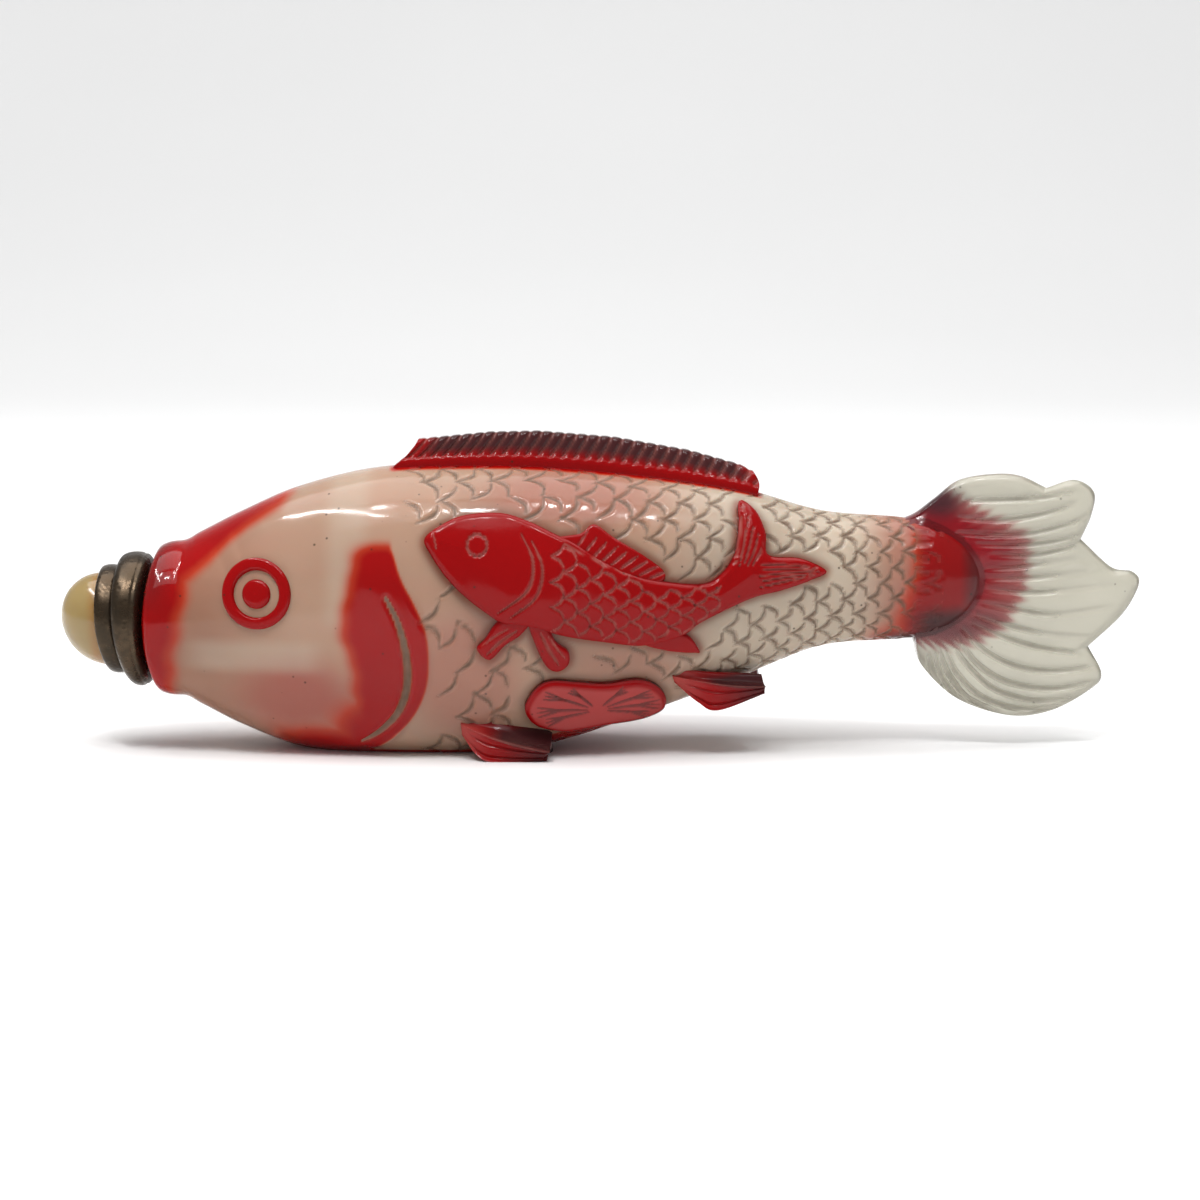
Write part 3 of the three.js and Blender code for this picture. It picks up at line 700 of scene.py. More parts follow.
def drifts(tree, colour):
    """Long soft drifts of lighter and duller glass along the body, as blown glass has"""
    stretched = node(tree, "ShaderNodeMapping")
    stretched.inputs["Scale"].default_value = (0.35, 1.0, 1.3)
    tree.links.new(node(tree, "ShaderNodeTexCoord").outputs["Object"], stretched.inputs["Vector"])
    warm = noise(tree, 110.0, 3.0, 0.55, stretched.outputs[0])
    dull = noise(tree, 47.0, 2.0, 0.5, stretched.outputs[0])
    warmer = mix(tree, mapped(tree, warm, 0.45, 0.75, 0.0, 0.5), colour, WARM_DRIFT)
    return mix(tree, mapped(tree, dull, 0.42, 0.72, 0.0, 0.5), warmer, DULL_DRIFT)


def fading(tree, full, least):
    """A cut's share of dust: full on pale glass and least on thick red"""
    return mapped(tree, attribute(tree, "overlay"), 0.25, 0.8, full, least)


def body_material(colours):
    """Pale ground glass with the fused red overlay, smoky at the tail"""
    material, tree, shader = new_material(
        "Overlay glass body", IOR=1.5, Transmission_Weight=0.28, Subsurface_Weight=0.3,
        Specular_IOR_Level=0.15, Subsurface_Radius=(1.0, 0.5, 0.35), Subsurface_Scale=0.002)
    pale = drifts(tree, tuple(colours.pale))
    # Pink seen through, a browner nose, and lighter bands, one of them a painted reflection behind the eye
    for mask, tint in (("bleed", BLUSH), ("nose", NOSE_BROWN), ("milk_and_reflection", MILK_AND_REFLECTION_TINT)):
        pale = mix(tree, attribute(tree, mask), pale, tint)
    colour = overlay_colour(tree, pale, attribute(tree, "overlay"), colours)
    # A darker brown ring round the feet of the reliefs
    colour = mix(tree, attribute(tree, "dull_tint"), colour, RELIEF_FOOT_DARK)
    colour = mix(tree, attribute(tree, "smoke"), colour, tuple(colours.smoke))
    finish_glass(tree, shader, colour, tuple(colours.cut), 0.08, fading(tree, 0.9, 0.12))
    return material


def relief_material(colours):
    """Deep red glass of the raised carving, pinker on the leaves and smoky at the fins' tips"""
    material, tree, shader = new_material(
        "Red overlay relief", IOR=1.5, Transmission_Weight=0.1, Specular_IOR_Level=0.14)
    colour = overlay_colour(tree, tuple(colours.pale), attribute(tree, "overlay"), colours)
    colour = mix(tree, 0.75, colour, tuple(colours.crimson), "MULTIPLY")
    colour = mix(tree, attribute(tree, "pink"), colour, RELIEF_PINK)
    colour = mix(tree, attribute(tree, "smoke"), colour, tuple(colours.smoke))
    finish_glass(tree, shader, colour, RELIEF_DUST, 0.1, 0.7)
    return material


def tail_material(colours):
    """Clear glass with red that thins out over it"""
    material, tree, shader = new_material(
        "Clear tail glass", IOR=1.45, Transmission_Weight=0.6, Specular_IOR_Level=0.35)
    thinning = mapped(tree, attribute(tree, "overlay"), 0.0, 0.55)
    thin = mix(tree, thinning, tuple(colours.clear), TAIL_THIN_RED)
    colour = mix(tree, mapped(tree, attribute(tree, "overlay"), 0.4, 1.0), thin, TAIL_RED_GLASS)
    colour = mix(tree, attribute(tree, "smoke"), colour, TAIL_SMOKE)
    finish_glass(tree, shader, colour, TAIL_DUST, 0.12, 0.6)
    return material


def metal_material(colours):
    """Dull brown metal with tarnish, worn spots and fine pits"""
    material, tree, shader = new_material("Dull collar metal", Metallic=0.85)
    tarnish = mapped(tree, noise(tree, 420.0, 5.0, 0.6), 0.35, 0.7)
    brown = mix(tree, tarnish, tuple(colours.metal), TARNISH)
    worn = mapped(tree, noise(tree, 1500.0, 4.0, 0.7), 0.6, 0.75, 0.0, 0.6)
    tree.links.new(mix(tree, worn, brown, WORN_METAL), shader.inputs["Base Color"])
    tree.links.new(mapped(tree, tarnish, 0, 1, 0.24, 0.42), shader.inputs["Roughness"])
    pits = node(tree, "ShaderNodeTexVoronoi", feature="F1")
    pits.inputs["Scale"].default_value = 1500.0
    tree.links.new(node(tree, "ShaderNodeTexCoord").outputs["Object"], pits.inputs["Vector"])
    pitted = mapped(tree, pits.outputs["Distance"], 0.05, 0.5, 0.0, 0.6)
    height = math_node(tree, "ADD", pitted, noise(tree, 700.0, 5.0))
    add_bump(tree, shader, height, 0.5, METAL_PITS)
    return material


def cabochon_material(colours):
    """Pale waxy stone, warmer where it meets the collar"""
    material, tree, shader = new_material(
        "Pale cabochon", IOR=1.54, Subsurface_Weight=0.6, Transmission_Weight=0.1,
        Subsurface_Radius=(1.0, 0.7, 0.35), Subsurface_Scale=0.002)
    place = node(tree, "ShaderNodeSeparateXYZ")
    tree.links.new(node(tree, "ShaderNodeTexCoord").outputs["Object"], place.inputs[0])
    near_collar = mapped(tree, place.outputs["X"], (MOUTH_X - 6.6) * MM, (MOUTH_X - 5.4) * MM)
    colour = mix(tree, near_collar, tuple(colours.cabochon), CABOCHON_EDGE)
    specks = place_group(tree, specks_group(), Colour=colour, Speck_scale=500.0, Speck_share=0.03)
    tree.links.new(specks.outputs["Colour"], shader.inputs["Base Color"])
    tree.links.new(mapped(tree, noise(tree, 300.0, 3.0), 0.3, 0.7, 0.12, 0.22), shader.inputs["Roughness"])
    return material


def shared_material(name, make):
    """The material of that name, made where it isn't there yet"""
    return bpy.data.materials.get(name) or make(bpy.context.scene.carp_colours)


# The body

def body_columns():
    """Places along the body, closest where the scales are cut"""
    lip = MOUTH_X + LIP_ROUND * (1 - np.cos(np.linspace(0.02, math.pi / 2, 8)))
    head = np.arange(MOUTH_X + LIP_ROUND + 0.2, -29.0, 0.36)
    scaled = np.arange(-29.0, 31.5, 0.245)
    end = BODY_END_X - BODY_END_ROUND * (1 - np.sin(np.linspace(0.04, math.pi / 2 - 0.01, 26)))
    end = end[end > scaled[-1] + 0.1]
    return np.concatenate([lip, head, scaled, end])


def body_angles():
    """Angles round the body, closest on the near flank"""
    near = np.radians(np.linspace(-84, 84, 158))
    far = np.radians(np.linspace(84, 276, 104)[1:-1])
    return np.concatenate([near, far])


def scale_strokes(sizes, x_from, x_to, random):
    """Cut strokes of the scales as lines of place and distance up the flank from its middle"""
    strokes = []
    column = 0
    tip_x = x_from
    while tip_x < x_to:
        shrink = float(np.interp(tip_x, [0, 12, 26], [1.0, 0.8, 0.72]))
        length = sizes.scale_length / MM * shrink
        tall = sizes.scale_height / MM * float(np.interp(tip_x, [-5, 12, 26], [1.0, 0.74, 0.64]))
        offset = (column % 2) * 0.5
        column += 1
        tip_x += length / 2
        for row in range(-6, 7):
            tip_s = (row + offset) * tall
            jitter = random.uniform(-0.22, 0.22, 6) * shrink
            for side in (1, -1):
                tip = (tip_x + jitter[0], tip_s + jitter[1] + side * tall * 0.04)
                end = (tip_x - length * 0.6 + jitter[2 + side], tip_s + side * tall * 0.55 + jitter[4])
                bulge = (tip_x - length * 0.1 + jitter[5] * 0.5, tip_s + side * tall * 0.33)
                strokes.append(np.array([tip, bulge, end]))
    return strokes


def keep_clear_loops():
    """Outlines of the reliefs on a flank, the leaf's last"""
    outlines = [SMALL_CARP, CARP_DORSAL, CARP_PECTORAL, CARP_PELVIC, CARP_ANAL, LEAF]
    return [smooth_line(points, 0.5, closed=True) for points in outlines]


def cut_scales(columns, up_flank, sizes, side_view, seed):
    """How deep and how marked the scale cuts are at each point of one flank"""
    random = np.random.default_rng(seed)
    depth = np.zeros(up_flank.shape)
    mark = np.zeros(up_flank.shape)
    half_width = sizes.cut_width / MM / 2
    loops = keep_clear_loops()
    for stroke in scale_strokes(sizes, -19.0, 33.5, random):
        line = smooth_line(stroke, 0.4)
        first, last = np.searchsorted(columns, [line[:, 0].min() - 0.6, line[:, 0].max() + 0.6])
        if last <= first:
            continue
        window = up_flank[first:last]
        rows = np.abs(window - line[:, 1].mean()) < np.ptp(line[:, 1]) / 2 + 0.6
        if not rows.any():
            continue
        where = side_view[first:last][rows]
        middle = where[np.argmin(np.abs(window[rows] - line[:, 1].mean()))]
        if not clear_of_relief(middle, loops, random):
            continue
        places = np.repeat(columns[first:last, None], window.shape[1], axis=1)[rows]
        spots = np.stack([places, window[rows]], axis=1)
        distance, along = line_distance(spots, line)
        swell = np.clip(np.sin(np.pi * np.clip(along, 0.02, 0.98)), 0, None) ** 0.6
        reach = half_width * swell * random.uniform(0.75, 1.1)
        groove = ease(distance, reach * 1.05, reach * 0.1)
        depth_part = depth[first:last]
        mark_part = mark[first:last]
        depth_part[rows] = np.maximum(depth_part[rows], groove * swell)
        mark_part[rows] = np.maximum(mark_part[rows], ease(distance, reach * 1.2, reach * 0.5))
    return depth * sizes.cut_depth / MM, mark


def clear_of_relief(spot, loops, random):
    """Whether a cut belongs at that spot of the side view"""
    x, z = spot
    gill_x = np.interp(z, [2, 9, 16, 22, 28], [-17.0, -15.3, -16.6, -19.5, -20.0])
    if x < gill_x + 0.6:
        return False
    point = np.array([[x, z]])
    for loop in loops:
        distance, _ = line_distance(point, loop, closed=True)
        if distance[0] < 0.95 or inside(point, loop)[0]:
            return False
    return random.uniform() > 0.03


def cheek_overlay(x, z):
    """The red of the gill plate: sharp at its edge, melting away toward the eye"""
    edge_x = through(CHEEK_EDGE_Z, CHEEK_EDGE_X, np.clip(z, 1, 20.8))
    wavy = 0.22 * np.sin(z * 0.8) + 0.07 * np.sin(z * 2.3 + 1)
    melt_x = np.interp(z, [3, 6, 9, 12, 17, 21], [-24.8, -24.2, -24.7, -25.4, -25.2, -24.2]) + wavy
    cheek = ease(x, melt_x - 1.0, melt_x + 3.0) * ease(x, edge_x + 0.4, edge_x - 0.3)
    return cheek * ease(z, 22.4, 19.6) * ease(z, 0.0, 3.0)


def head_overlay(x, z, back, belly):
    """How thick the red is on the head: mouth rim, brow streak, cheek and throat"""
    band = np.interp(z, [5, 10, 15, 20], [-42.3, -41.6, -40.6, -40.0]) + 0.12 * np.sin(z * 1.7)
    rim = ease(x, band + 1.4, band - 2.2)
    deep = np.interp(x, [-43, -40, -38, -36.3, -34.6, -31, -28.8], [6.0, 4.6, 3.7, 2.5, 1.9, 1.3, 0.0])
    streak = ease(back - z, deep + 0.9, deep * 0.3 - 0.2) * ease(x, -28.6, -32.0)
    streak *= np.interp(x, [-40, -36, -31], [1.0, 0.85, 0.5])
    edge_x = np.interp(z, [0.5, 2, 4, 7], [-22.5, -20.4, -18.6, -17.1])
    before_edge = ease(x, edge_x + 0.4, edge_x - 0.3)
    throat = ease(z - np.maximum(belly, 0), 4.6, 0.6) * ease(x, -35.0, -28) * before_edge * 0.85
    gill_low = ease(z, 8.0, 3.0) * ease(x, -28.5, -22.5) * before_edge * 0.85
    return np.maximum.reduce([rim, streak, cheek_overlay(x, z), throat, gill_low])


def around_reliefs(x, z):
    """Thin red that melts into the body round the reliefs, least round the leaf, and a darker brown ring
    round them
    """
    glow = np.zeros(len(x))
    dull_tint = np.zeros(len(x))
    near = (x > -18) & (x < 24) & (z > 1) & (z < 26)
    spots = np.stack([x[near], z[near]], axis=1)
    loops = keep_clear_loops()
    for loop in loops:
        distance, _ = line_distance(spots, loop, closed=True)
        distance[inside(spots, loop)] = 0
        strength = 0.15 if loop is loops[-1] else 0.32
        glow[near] = np.maximum(glow[near], ease(distance, 0.9, 0.0) * strength)
        # A darker brown ring just outside each relief's outline
        dull_tint[near] = np.maximum(dull_tint[near], ease(distance, 1.1, 0.2) * 0.5)
    return glow, dull_tint


def blot(x, z, middle, half_size, start, full):
    """A soft oval spot of the side view"""
    across = (x - middle[0]) / half_size[0]
    up = (z - middle[1]) / half_size[1]
    return ease(np.hypot(across, up), start, full)


def tail_root_red(x, z, belly):
    """Red where the tail grows from the body, and along the belly before it"""
    root = ease(x, 29.5 - 2.8 * ease(z, 19, 12), 33.2)
    return np.maximum(root, ease(x, 24.0, 30.0) * ease(z - belly, 3.5, 0.5) * 0.5)


def body_smoke(x, z, belly):
    """Smoky glass: under and over the tail's root, round its end, and a little above the mouth"""
    return np.maximum.reduce([
        ease(z - belly, 1.8, 0.2) * ease(x, 26.0, 29.5) * 0.9,
        ease(x, 29.0, 33.0) * ease(z, 15.6, 13.0) * 0.92,
        ease(x, 34.6, 37.2) * 0.72,
        ease(x, 29.5, 33.0) * 0.22,
        ease(x, -41.4, -43.4) * ease(z, 13.0, 18.0) * 0.45])


def body_milk_and_reflection(x, z):
    """Lighter bands: one low on the head, milky glass before the tail, and a painted reflection behind the
    eye
    """
    return np.maximum.reduce([
        ease(np.abs(z - 10.3), 2.2, 0.6) * 0.4 * ease(x, -42, -38) * ease(x, -26, -29),
        ease(x, 4, 14) * ease(x, 29, 24) * 0.85,
        # Painted reflection: a lighter yellowish band behind the eye
        ease(np.abs(x + 24.5), 3.0, 0.8) * ease(z, 12, 15) * 0.35])


def body_masks(x, z, back, belly):
    """Colour masks over the body: red overlay, smoky glass, pink seen through it, and lighter bands, one of
    them a painted reflection
    """
    fin_foot = ease(back - z, 0.5, 0.1) * ease(x, -21.0, -20.2) * ease(x, 16.4, 15.4) * 0.9
    foot = ease(z, 0.5, 0.12) * ease(x, -33, -31) * ease(x, -2, -4)
    keel = ease(z - belly, 2.0, 1.1) * ease(x, -6.5, -5.5) * ease(x, 2.2, 0.4) * 0.9
    glow, dull_tint = around_reliefs(x, z)
    head = head_overlay(x, z, back, belly)
    bleed = ease(x, 24.5, 31.0) * 0.6
    for middle, half_size, (start, full), strength in BLUSHES:
        bleed = np.maximum(bleed, blot(x, z, middle, half_size, start, full) * strength)
    return {
        "overlay": np.maximum.reduce([head, tail_root_red(x, z, belly), fin_foot, foot, keel, glow]),
        "smoke": body_smoke(x, z, belly),
        "bleed": bleed,
        "milk_and_reflection": body_milk_and_reflection(x, z),
        "dull_tint": dull_tint,
        "nose": ease(x, -29.0, -40.0) * 0.75,
    }


def body_lift(side_view, depth):
    """Height of the carving on the body above its plain skin: lip, gill plate, gill groove and cuts"""
    x, z = side_view[:, 0], side_view[:, 1]
    lift = -depth
    lift += 0.32 * ease(x, MOUTH_X + 0.1, MOUTH_X + 0.9) * ease(x, MOUTH_X + 3.0, MOUTH_X + 1.4)
    lift -= 0.12 * ease(np.abs(x - MOUTH_X - 3.3), 1.2, 0.0)
    near_gill = (x > -29) & (x < -14) & (z < 24)
    spots = side_view[near_gill]
    edge = smooth_line(GILL_EDGE, 0.5)
    groove = smooth_line(GILL_GROOVE, 0.5)
    edge_x = np.interp(spots[:, 1], edge[::-1, 1], edge[::-1, 0])
    fade = ease(spots[:, 1], 21.5, 18.0) * ease(spots[:, 1], 0.2, 1.6)
    front_of_edge = ease(spots[:, 0], edge_x + 0.55, edge_x - 0.25)
    plate = front_of_edge * ease(spots[:, 0], edge_x - 6, edge_x - 2) * fade
    distance, along = line_distance(spots, groove)
    swell = np.clip(np.sin(np.pi * np.clip(along * 0.9 + 0.08, 0.03, 0.97)), 0, 1) ** 0.5
    cut = ease(distance, GILL_GROOVE_HALF * swell, 0.1 * swell)
    lift[near_gill] += GILL_PLATE_RISE * plate - GILL_GROOVE_DEPTH * cut * swell
    mark = np.zeros(len(x))
    mark[near_gill] = ease(distance, GILL_GROOVE_HALF * swell, 0.24 * swell)
    return lift, mark


def bore_ring(x, angles):
    """A round ring of the bore"""
    across = -BORE_RADIUS * np.cos(angles)
    up = AXIS_Z + BORE_RADIUS * np.sin(angles)
    return np.stack([np.full(len(angles), x), across, up], axis=1)


def hollow_ring(x, angles):
    """A ring of the hollow: the body's section less the wall, rounded off at the hollow's ends"""
    middle, tall, half, full = section(np.array([x]))
    place = np.array([x])
    size = rounding(place, HOLLOW_FRONT_X, HOLLOW_ROUND) * rounding(place, HOLLOW_END_X, HOLLOW_ROUND)
    low = np.maximum(middle - tall, 0) + WALL
    high = middle + tall - WALL
    across = -(half - WALL) * size * signed_power(np.cos(angles), 2 / full)
    up = (low + high) / 2 + (high - low) / 2 * size * signed_power(np.sin(angles), 2 / full)
    return np.stack([np.full(len(angles), x), across, up], axis=1)


def inner_rings(angles):
    """Rings of the bore and the hollow, from the mouth inwards"""
    bore = [bore_ring(x, angles) for x in (MOUTH_X + 0.02, MOUTH_X + 0.4, MOUTH_X + 3, HOLLOW_FRONT_X + 0.3)]
    hollow = [hollow_ring(x, angles) for x in np.linspace(HOLLOW_FRONT_X + 0.9, HOLLOW_END_X - 0.02, 30)]
    return bore + hollow


def carve_flanks(columns, angles, points, sizes):
    """How deep and how marked the scale cuts are, on the near and the far flank"""
    steps = np.linalg.norm(np.diff(points, axis=1, append=points[:, :1]), axis=2)
    up = np.cumsum(np.hstack([np.zeros((len(columns), 1)), steps[:, :-1]]), axis=1)
    zero = np.argmin(np.abs(angles))
    opposite = np.argmin(np.abs(angles - math.pi))
    side_view = points[:, :, [0, 2]]
    near = cut_scales(columns, up - up[:, zero:zero + 1], sizes, side_view, NEAR_SEED)
    far = cut_scales(columns, up[:, opposite:opposite + 1] - up, sizes, side_view, FAR_SEED)
    on_near = np.abs(angles) < FLANK_REACH
    on_far = np.abs(angles - math.pi) < FLANK_REACH
    return [np.where(on_near, a, np.where(on_far, b, 0)) for a, b in zip(near, far)]


def close_skin(points, around):
    """Points and faces of a skin over rings, with a fan from the middle of each end"""
    rows = len(points) // around
    faces = ring_faces(rows, around)
    first = len(points)
    last = (rows - 1) * around
    for j in range(around):
        k = (j + 1) % around
        faces.append((first, k, j))
        faces.append((first + 1, last + j, last + k))
    return np.vstack([points, points[:around].mean(axis=0), points[-around:].mean(axis=0)]), faces


def build_body(sizes):
    """One closed skin: the hollow's end, the bore, the lip, the carved outside and its rounded end"""
    columns = body_columns()
    angles = body_angles()
    around = len(angles)
    x = np.repeat(columns[:, None], around, axis=1)
    angle = np.repeat(angles[None, :], len(columns), axis=0)
    points = skin_point(x, angle)
    depth, mark = carve_flanks(columns, angles, points, sizes)
    skin = points.reshape(-1, 3)
    lift, gill_mark = body_lift(skin[:, [0, 2]], depth.reshape(-1))
    quiet = ease(skin[:, 0], MOUTH_X + 0.05, MOUTH_X + 0.5)
    skin = skin + skin_normal(x, angle).reshape(-1, 3) * (lift * quiet)[:, None]
    skin[:, 2] = np.maximum(skin[:, 2], 0)
    inner = np.vstack(inner_rings(angles)[::-1])
    points, faces = close_skin(np.vstack([inner, skin]), around)
    back = through(SECTION_X, SECTION_BACK, points[:, 0])
    belly = through(SECTION_X, SECTION_BELLY, points[:, 0])
    masks = body_masks(points[:, 0], points[:, 2], back, belly)
    outside = slice(len(inner), len(inner) + len(skin))
    masks["cut"] = np.zeros(len(points))
    masks["cut"][outside] = np.maximum(mark.reshape(-1), gill_mark)
    masks["overlay"][outside] *= 1 - gill_mark
    mouth = ease(points[:, 0], MOUTH_X + 4.5, MOUTH_X + 0.3)
    points[:, 0] -= MOUTH_BOW * (points[:, 1] / MOUTH_HALF) ** 2 * mouth
    return outward(make_mesh("glass_body", points, faces, masks))


# Relief patches on the flanks

def patch_points(outline, step, bevel):
    """Points inside an outline: rings that follow it, then an even grid"""
    loop = smooth_line(outline, step, closed=True)
    low = loop.min(axis=0)
    high = loop.max(axis=0)
    grid_x = np.arange(low[0], high[0], step)
    grid_z = np.arange(low[1], high[1], step * 0.87)
    gx, gz = np.meshgrid(grid_x, grid_z)
    gx[::2] += step / 2
    grid = np.stack([gx.ravel(), gz.ravel()], axis=1)
    grid = grid[inside(grid, loop)]
    distance, _ = line_distance(grid, loop, closed=True)
    grid = grid[distance > bevel + step * 0.5]
    following = np.roll(loop, -1, axis=0) - np.roll(loop, 1, axis=0)
    normal = np.stack([-following[:, 1], following[:, 0]], axis=1)
    normal /= np.linalg.norm(normal, axis=1, keepdims=True)
    if not inside(loop[:1] + normal[:1] * step, loop)[0]:
        normal = -normal
    rings = []
    for inset in (bevel * 0.3, bevel * 0.65, bevel):
        ring = loop + normal * inset
        distance, _ = line_distance(ring, loop, closed=True)
        rings.append(ring[(distance > inset * 0.9) & inside(ring, loop)])
    return loop, np.vstack([loop, *rings, grid])


def patch_triangles(points, count):
    """Triangles over a patch laid out flat round the body, and the places of its first count points"""
    flat = np.stack([points[:, 0], flank_angle(points[:, 0], points[:, 1]) * AROUND_SCALE], axis=1)
    ring = [(i, (i + 1) % count) for i in range(count)]
    result = delaunay_2d_cdt([Vector(p) for p in flat], ring, [], 0, 1e-5, True)
    verts = np.array([tuple(v) for v in result[0]])
    triangles = np.array([list(f) for f in result[2]])
    triangles = triangles[inside(verts[triangles].mean(axis=1), flat[:count])].tolist()
    place = {}
    for new, olds in enumerate(result[3]):
        for old in olds:
            place[old] = new
    return verts, triangles, [place[i] for i in range(count)]


def patch_height(side, inward, relief, bevel, crown, lines):
    """Height of a relief above the skin, and how marked its cuts are"""
    round_in = np.clip(inward / bevel, 0, 1)
    lift = relief * (0.5 + 0.5 * np.sqrt(1 - (1 - round_in) ** 2))
    lift += crown * ease(inward, 0.0, 3.0)
    cut = np.zeros(len(side))
    for line, width, depth in lines:
        distance, along = line_distance(side, smooth_line(line, 0.35))
        swell = np.clip(np.sin(np.pi * np.clip(along, 0.03, 0.97)), 0, 1) ** 0.45
        lift -= depth * ease(distance, width / 2 * swell, 0.0)
        cut = np.maximum(cut, ease(distance, width / 2 * swell, width * 0.22 * swell))
    return lift, cut


def skirted(skin, normal, lift, triangles, rim):
    """Points and faces of a relief: its carved top, a skirt into the glass, and a hidden underside"""
    top = skin + normal * lift[:, None]
    skirt = skin[rim] - normal[rim] * SKIRT_DEPTH
    centre = skin.mean(axis=0) - normal.mean(axis=0) * UNDERSIDE_DEPTH
    base = len(top)
    count = len(rim)
    faces = list(triangles)
    for i in range(count):
        j = (i + 1) % count
        faces.append((rim[i], base + i, base + j, rim[j]))
        faces.append((base + i, base + count, base + j))
    return np.vstack([top, skirt, centre]), faces


def lay_patch(name, outline, relief, bevel, step, far=False, lines=(), crown=0.0, tint=0.0, dark_cuts=0.0):
    """A carved relief that lies on one flank: a rounded top, and a skirt that goes into the glass"""
    loop, points = patch_points(outline, step, bevel)
    flat, triangles, rim = patch_triangles(points, len(loop))
    angle = flat[:, 1] / AROUND_SCALE
    skin = skin_point(flat[:, 0], angle)
    normal = skin_normal(flat[:, 0], angle)
    side = skin[:, [0, 2]]
    inward, _ = line_distance(side, loop, closed=True)
    lift, cut = patch_height(side, inward, relief, bevel, crown, lines)
    points, faces = skirted(skin, normal, lift, triangles, rim)
    hidden = np.zeros(len(rim) + 1)
    masks = {
        "cut": np.concatenate([cut * (1 - dark_cuts), hidden]),
        "overlay": np.ones(len(points)),
        "smoke": np.concatenate([cut * dark_cuts, hidden]),
        "pink": np.concatenate([tint * ease(inward, bevel * 0.6, bevel * 1.2), hidden]),
    }
    if far:
        points = points * MIRRORED
    return outward(make_mesh(name, points, faces, masks))


def carp_eye_lines():
    """A ring of short cuts for the small carp's eye"""
    lines = []
    turn = 2 * math.pi / 12
    for angle in np.linspace(0, 2 * math.pi, 13)[:-1]:
        ring = [(CARP_EYE[0] + math.cos(a) * CARP_EYE_RADIUS, CARP_EYE[1] + math.sin(a) * CARP_EYE_RADIUS)
                for a in (angle, angle + turn)]
        lines.append((ring, 0.42, 0.28))
    return lines


def carp_scale_lines():
    """Two strokes for each of the small carp's scales, in staggered columns"""
    lines = []
    for step in range(13):
        x = -3.9 + step * 1.25
        middle = np.interp(x, [-4, 4, 11], [16.6, 14.9, 15.6])
        size = np.interp(x, [-3, 9], [1.0, 0.7])
        for row in range(-3, 4):
            z = middle + (row + 0.5 * (step % 2)) * 2.3 * size
            tall = 1.18 * size
            lines.append(([(x - 0.95, z + tall), (x, z + tall * 0.6), (x + 0.35, z)], 0.34, 0.22))
            lines.append(([(x + 0.35, z), (x, z - tall * 0.6), (x - 0.95, z - tall)], 0.34, 0.22))
    return lines


def carp_tail_lines():
    """Rays of the small carp's tail, up its upper lobe and along its lower one"""
    lines = []
    for i in range(5):
        upper = [(12.9 + 0.4 * i, 18.9), (13.3 + 0.5 * i, 21.2 - 0.3 * i), (13.8 + 0.45 * i, 24.0 - 0.8 * i)]
        lower = [(15.3, 19.0 - 0.5 * i), (18.2, 18.9 - 0.34 * i), (21.0, 18.55 - 0.14 * i)]
        lines.append((upper, 0.3, 0.3))
        lines.append((lower, 0.28, 0.3))
    return lines


def carp_lines():
    """Lines cut on the small carp: gill arcs, mouth, back line, eye, scales and tail rays"""
    lines = [
        ([(-7.6, 22.0), (-6.5, 19.6), (-7.0, 17.0), (-9.8, 14.9)], 0.42, 0.3),
        ([(-6.6, 21.3), (-5.6, 19.0), (-6.2, 16.4), (-8.7, 14.4)], 0.38, 0.3),
        ([(-16.0, 22.1), (-15.7, 20.6)], 0.25, 0.2),
        ([(-4.2, 21.5), (0.2, 19.3), (4.2, 17.9)], 0.2, 0.2),
    ]
    lines += carp_eye_lines() + carp_scale_lines()
    loop = smooth_line(SMALL_CARP, 0.5, closed=True)
    kept = []
    for line, width, depth in lines:
        spots = np.array(line, float)
        distance, _ = line_distance(spots, loop, closed=True)
        if inside(spots, loop).all() and distance.min() > 0.12:
            kept.append((line, width, depth))
    return kept + carp_tail_lines()


def small_carp(sizes, far):
    """The small carp of one flank: its body and its four fins"""
    tag = "far" if far else "near"
    relief = sizes.carp_relief / MM
    fin_relief = sizes.fin_relief / MM
    dorsal_lines = [([(-2.6 + 0.9 * i, 20.5 - 0.32 * i), (-1.2 + 0.95 * i, 22.3 - 0.46 * i)], 0.3, 0.22)
                    for i in range(9)]
    pectoral_lines = [([(-8.0, 13.2), (-9.6, 12.1), (-10.9, 10.9)], 0.5, 0.25),
                      ([(-8.8, 13.4), (-10.2, 12.6), (-11.4, 11.7)], 0.3, 0.15)]
    pelvic_lines = [([(-5.8, 13.0), (-5.0, 11.3), (-4.0, 9.8)], 0.5, 0.25),
                    ([(-5.0, 12.6), (-4.2, 11.4), (-3.4, 10.4)], 0.3, 0.15)]
    return [
        lay_patch("small_carp_" + tag, SMALL_CARP, relief, 0.6, 0.16, far, carp_lines(), crown=0.25),
        lay_patch("carp_dorsal_" + tag, CARP_DORSAL, fin_relief, 0.3, 0.15, far, dorsal_lines),
        lay_patch("carp_pectoral_" + tag, CARP_PECTORAL, fin_relief, 0.4, 0.14, far, pectoral_lines),
        lay_patch("carp_pelvic_" + tag, CARP_PELVIC, fin_relief, 0.4, 0.14, far, pelvic_lines),
        lay_patch("carp_anal_" + tag, CARP_ANAL, fin_relief, 0.3, 0.2, far),
    ]


def leaf_lines():
    """Veins of the lotus leaf: forked lines that run out from near its middle"""
    lines = []
    middle = np.array(LEAF_MIDDLE)
    for end, fork in LEAF_VEINS:
        end = np.array(end)
        run = end - middle
        start = middle + run * 0.18
        bend = middle + run * 0.6 + np.array([0, 0.12])
        lines.append(([start, bend, end], 0.36, 0.2))
        aside = np.array([-run[1], run[0]])
        aside /= np.linalg.norm(aside)
        lines.append(([bend, end + aside * fork], 0.28, 0.15))
        lines.append(([bend, end - aside * fork], 0.28, 0.15))
    return lines


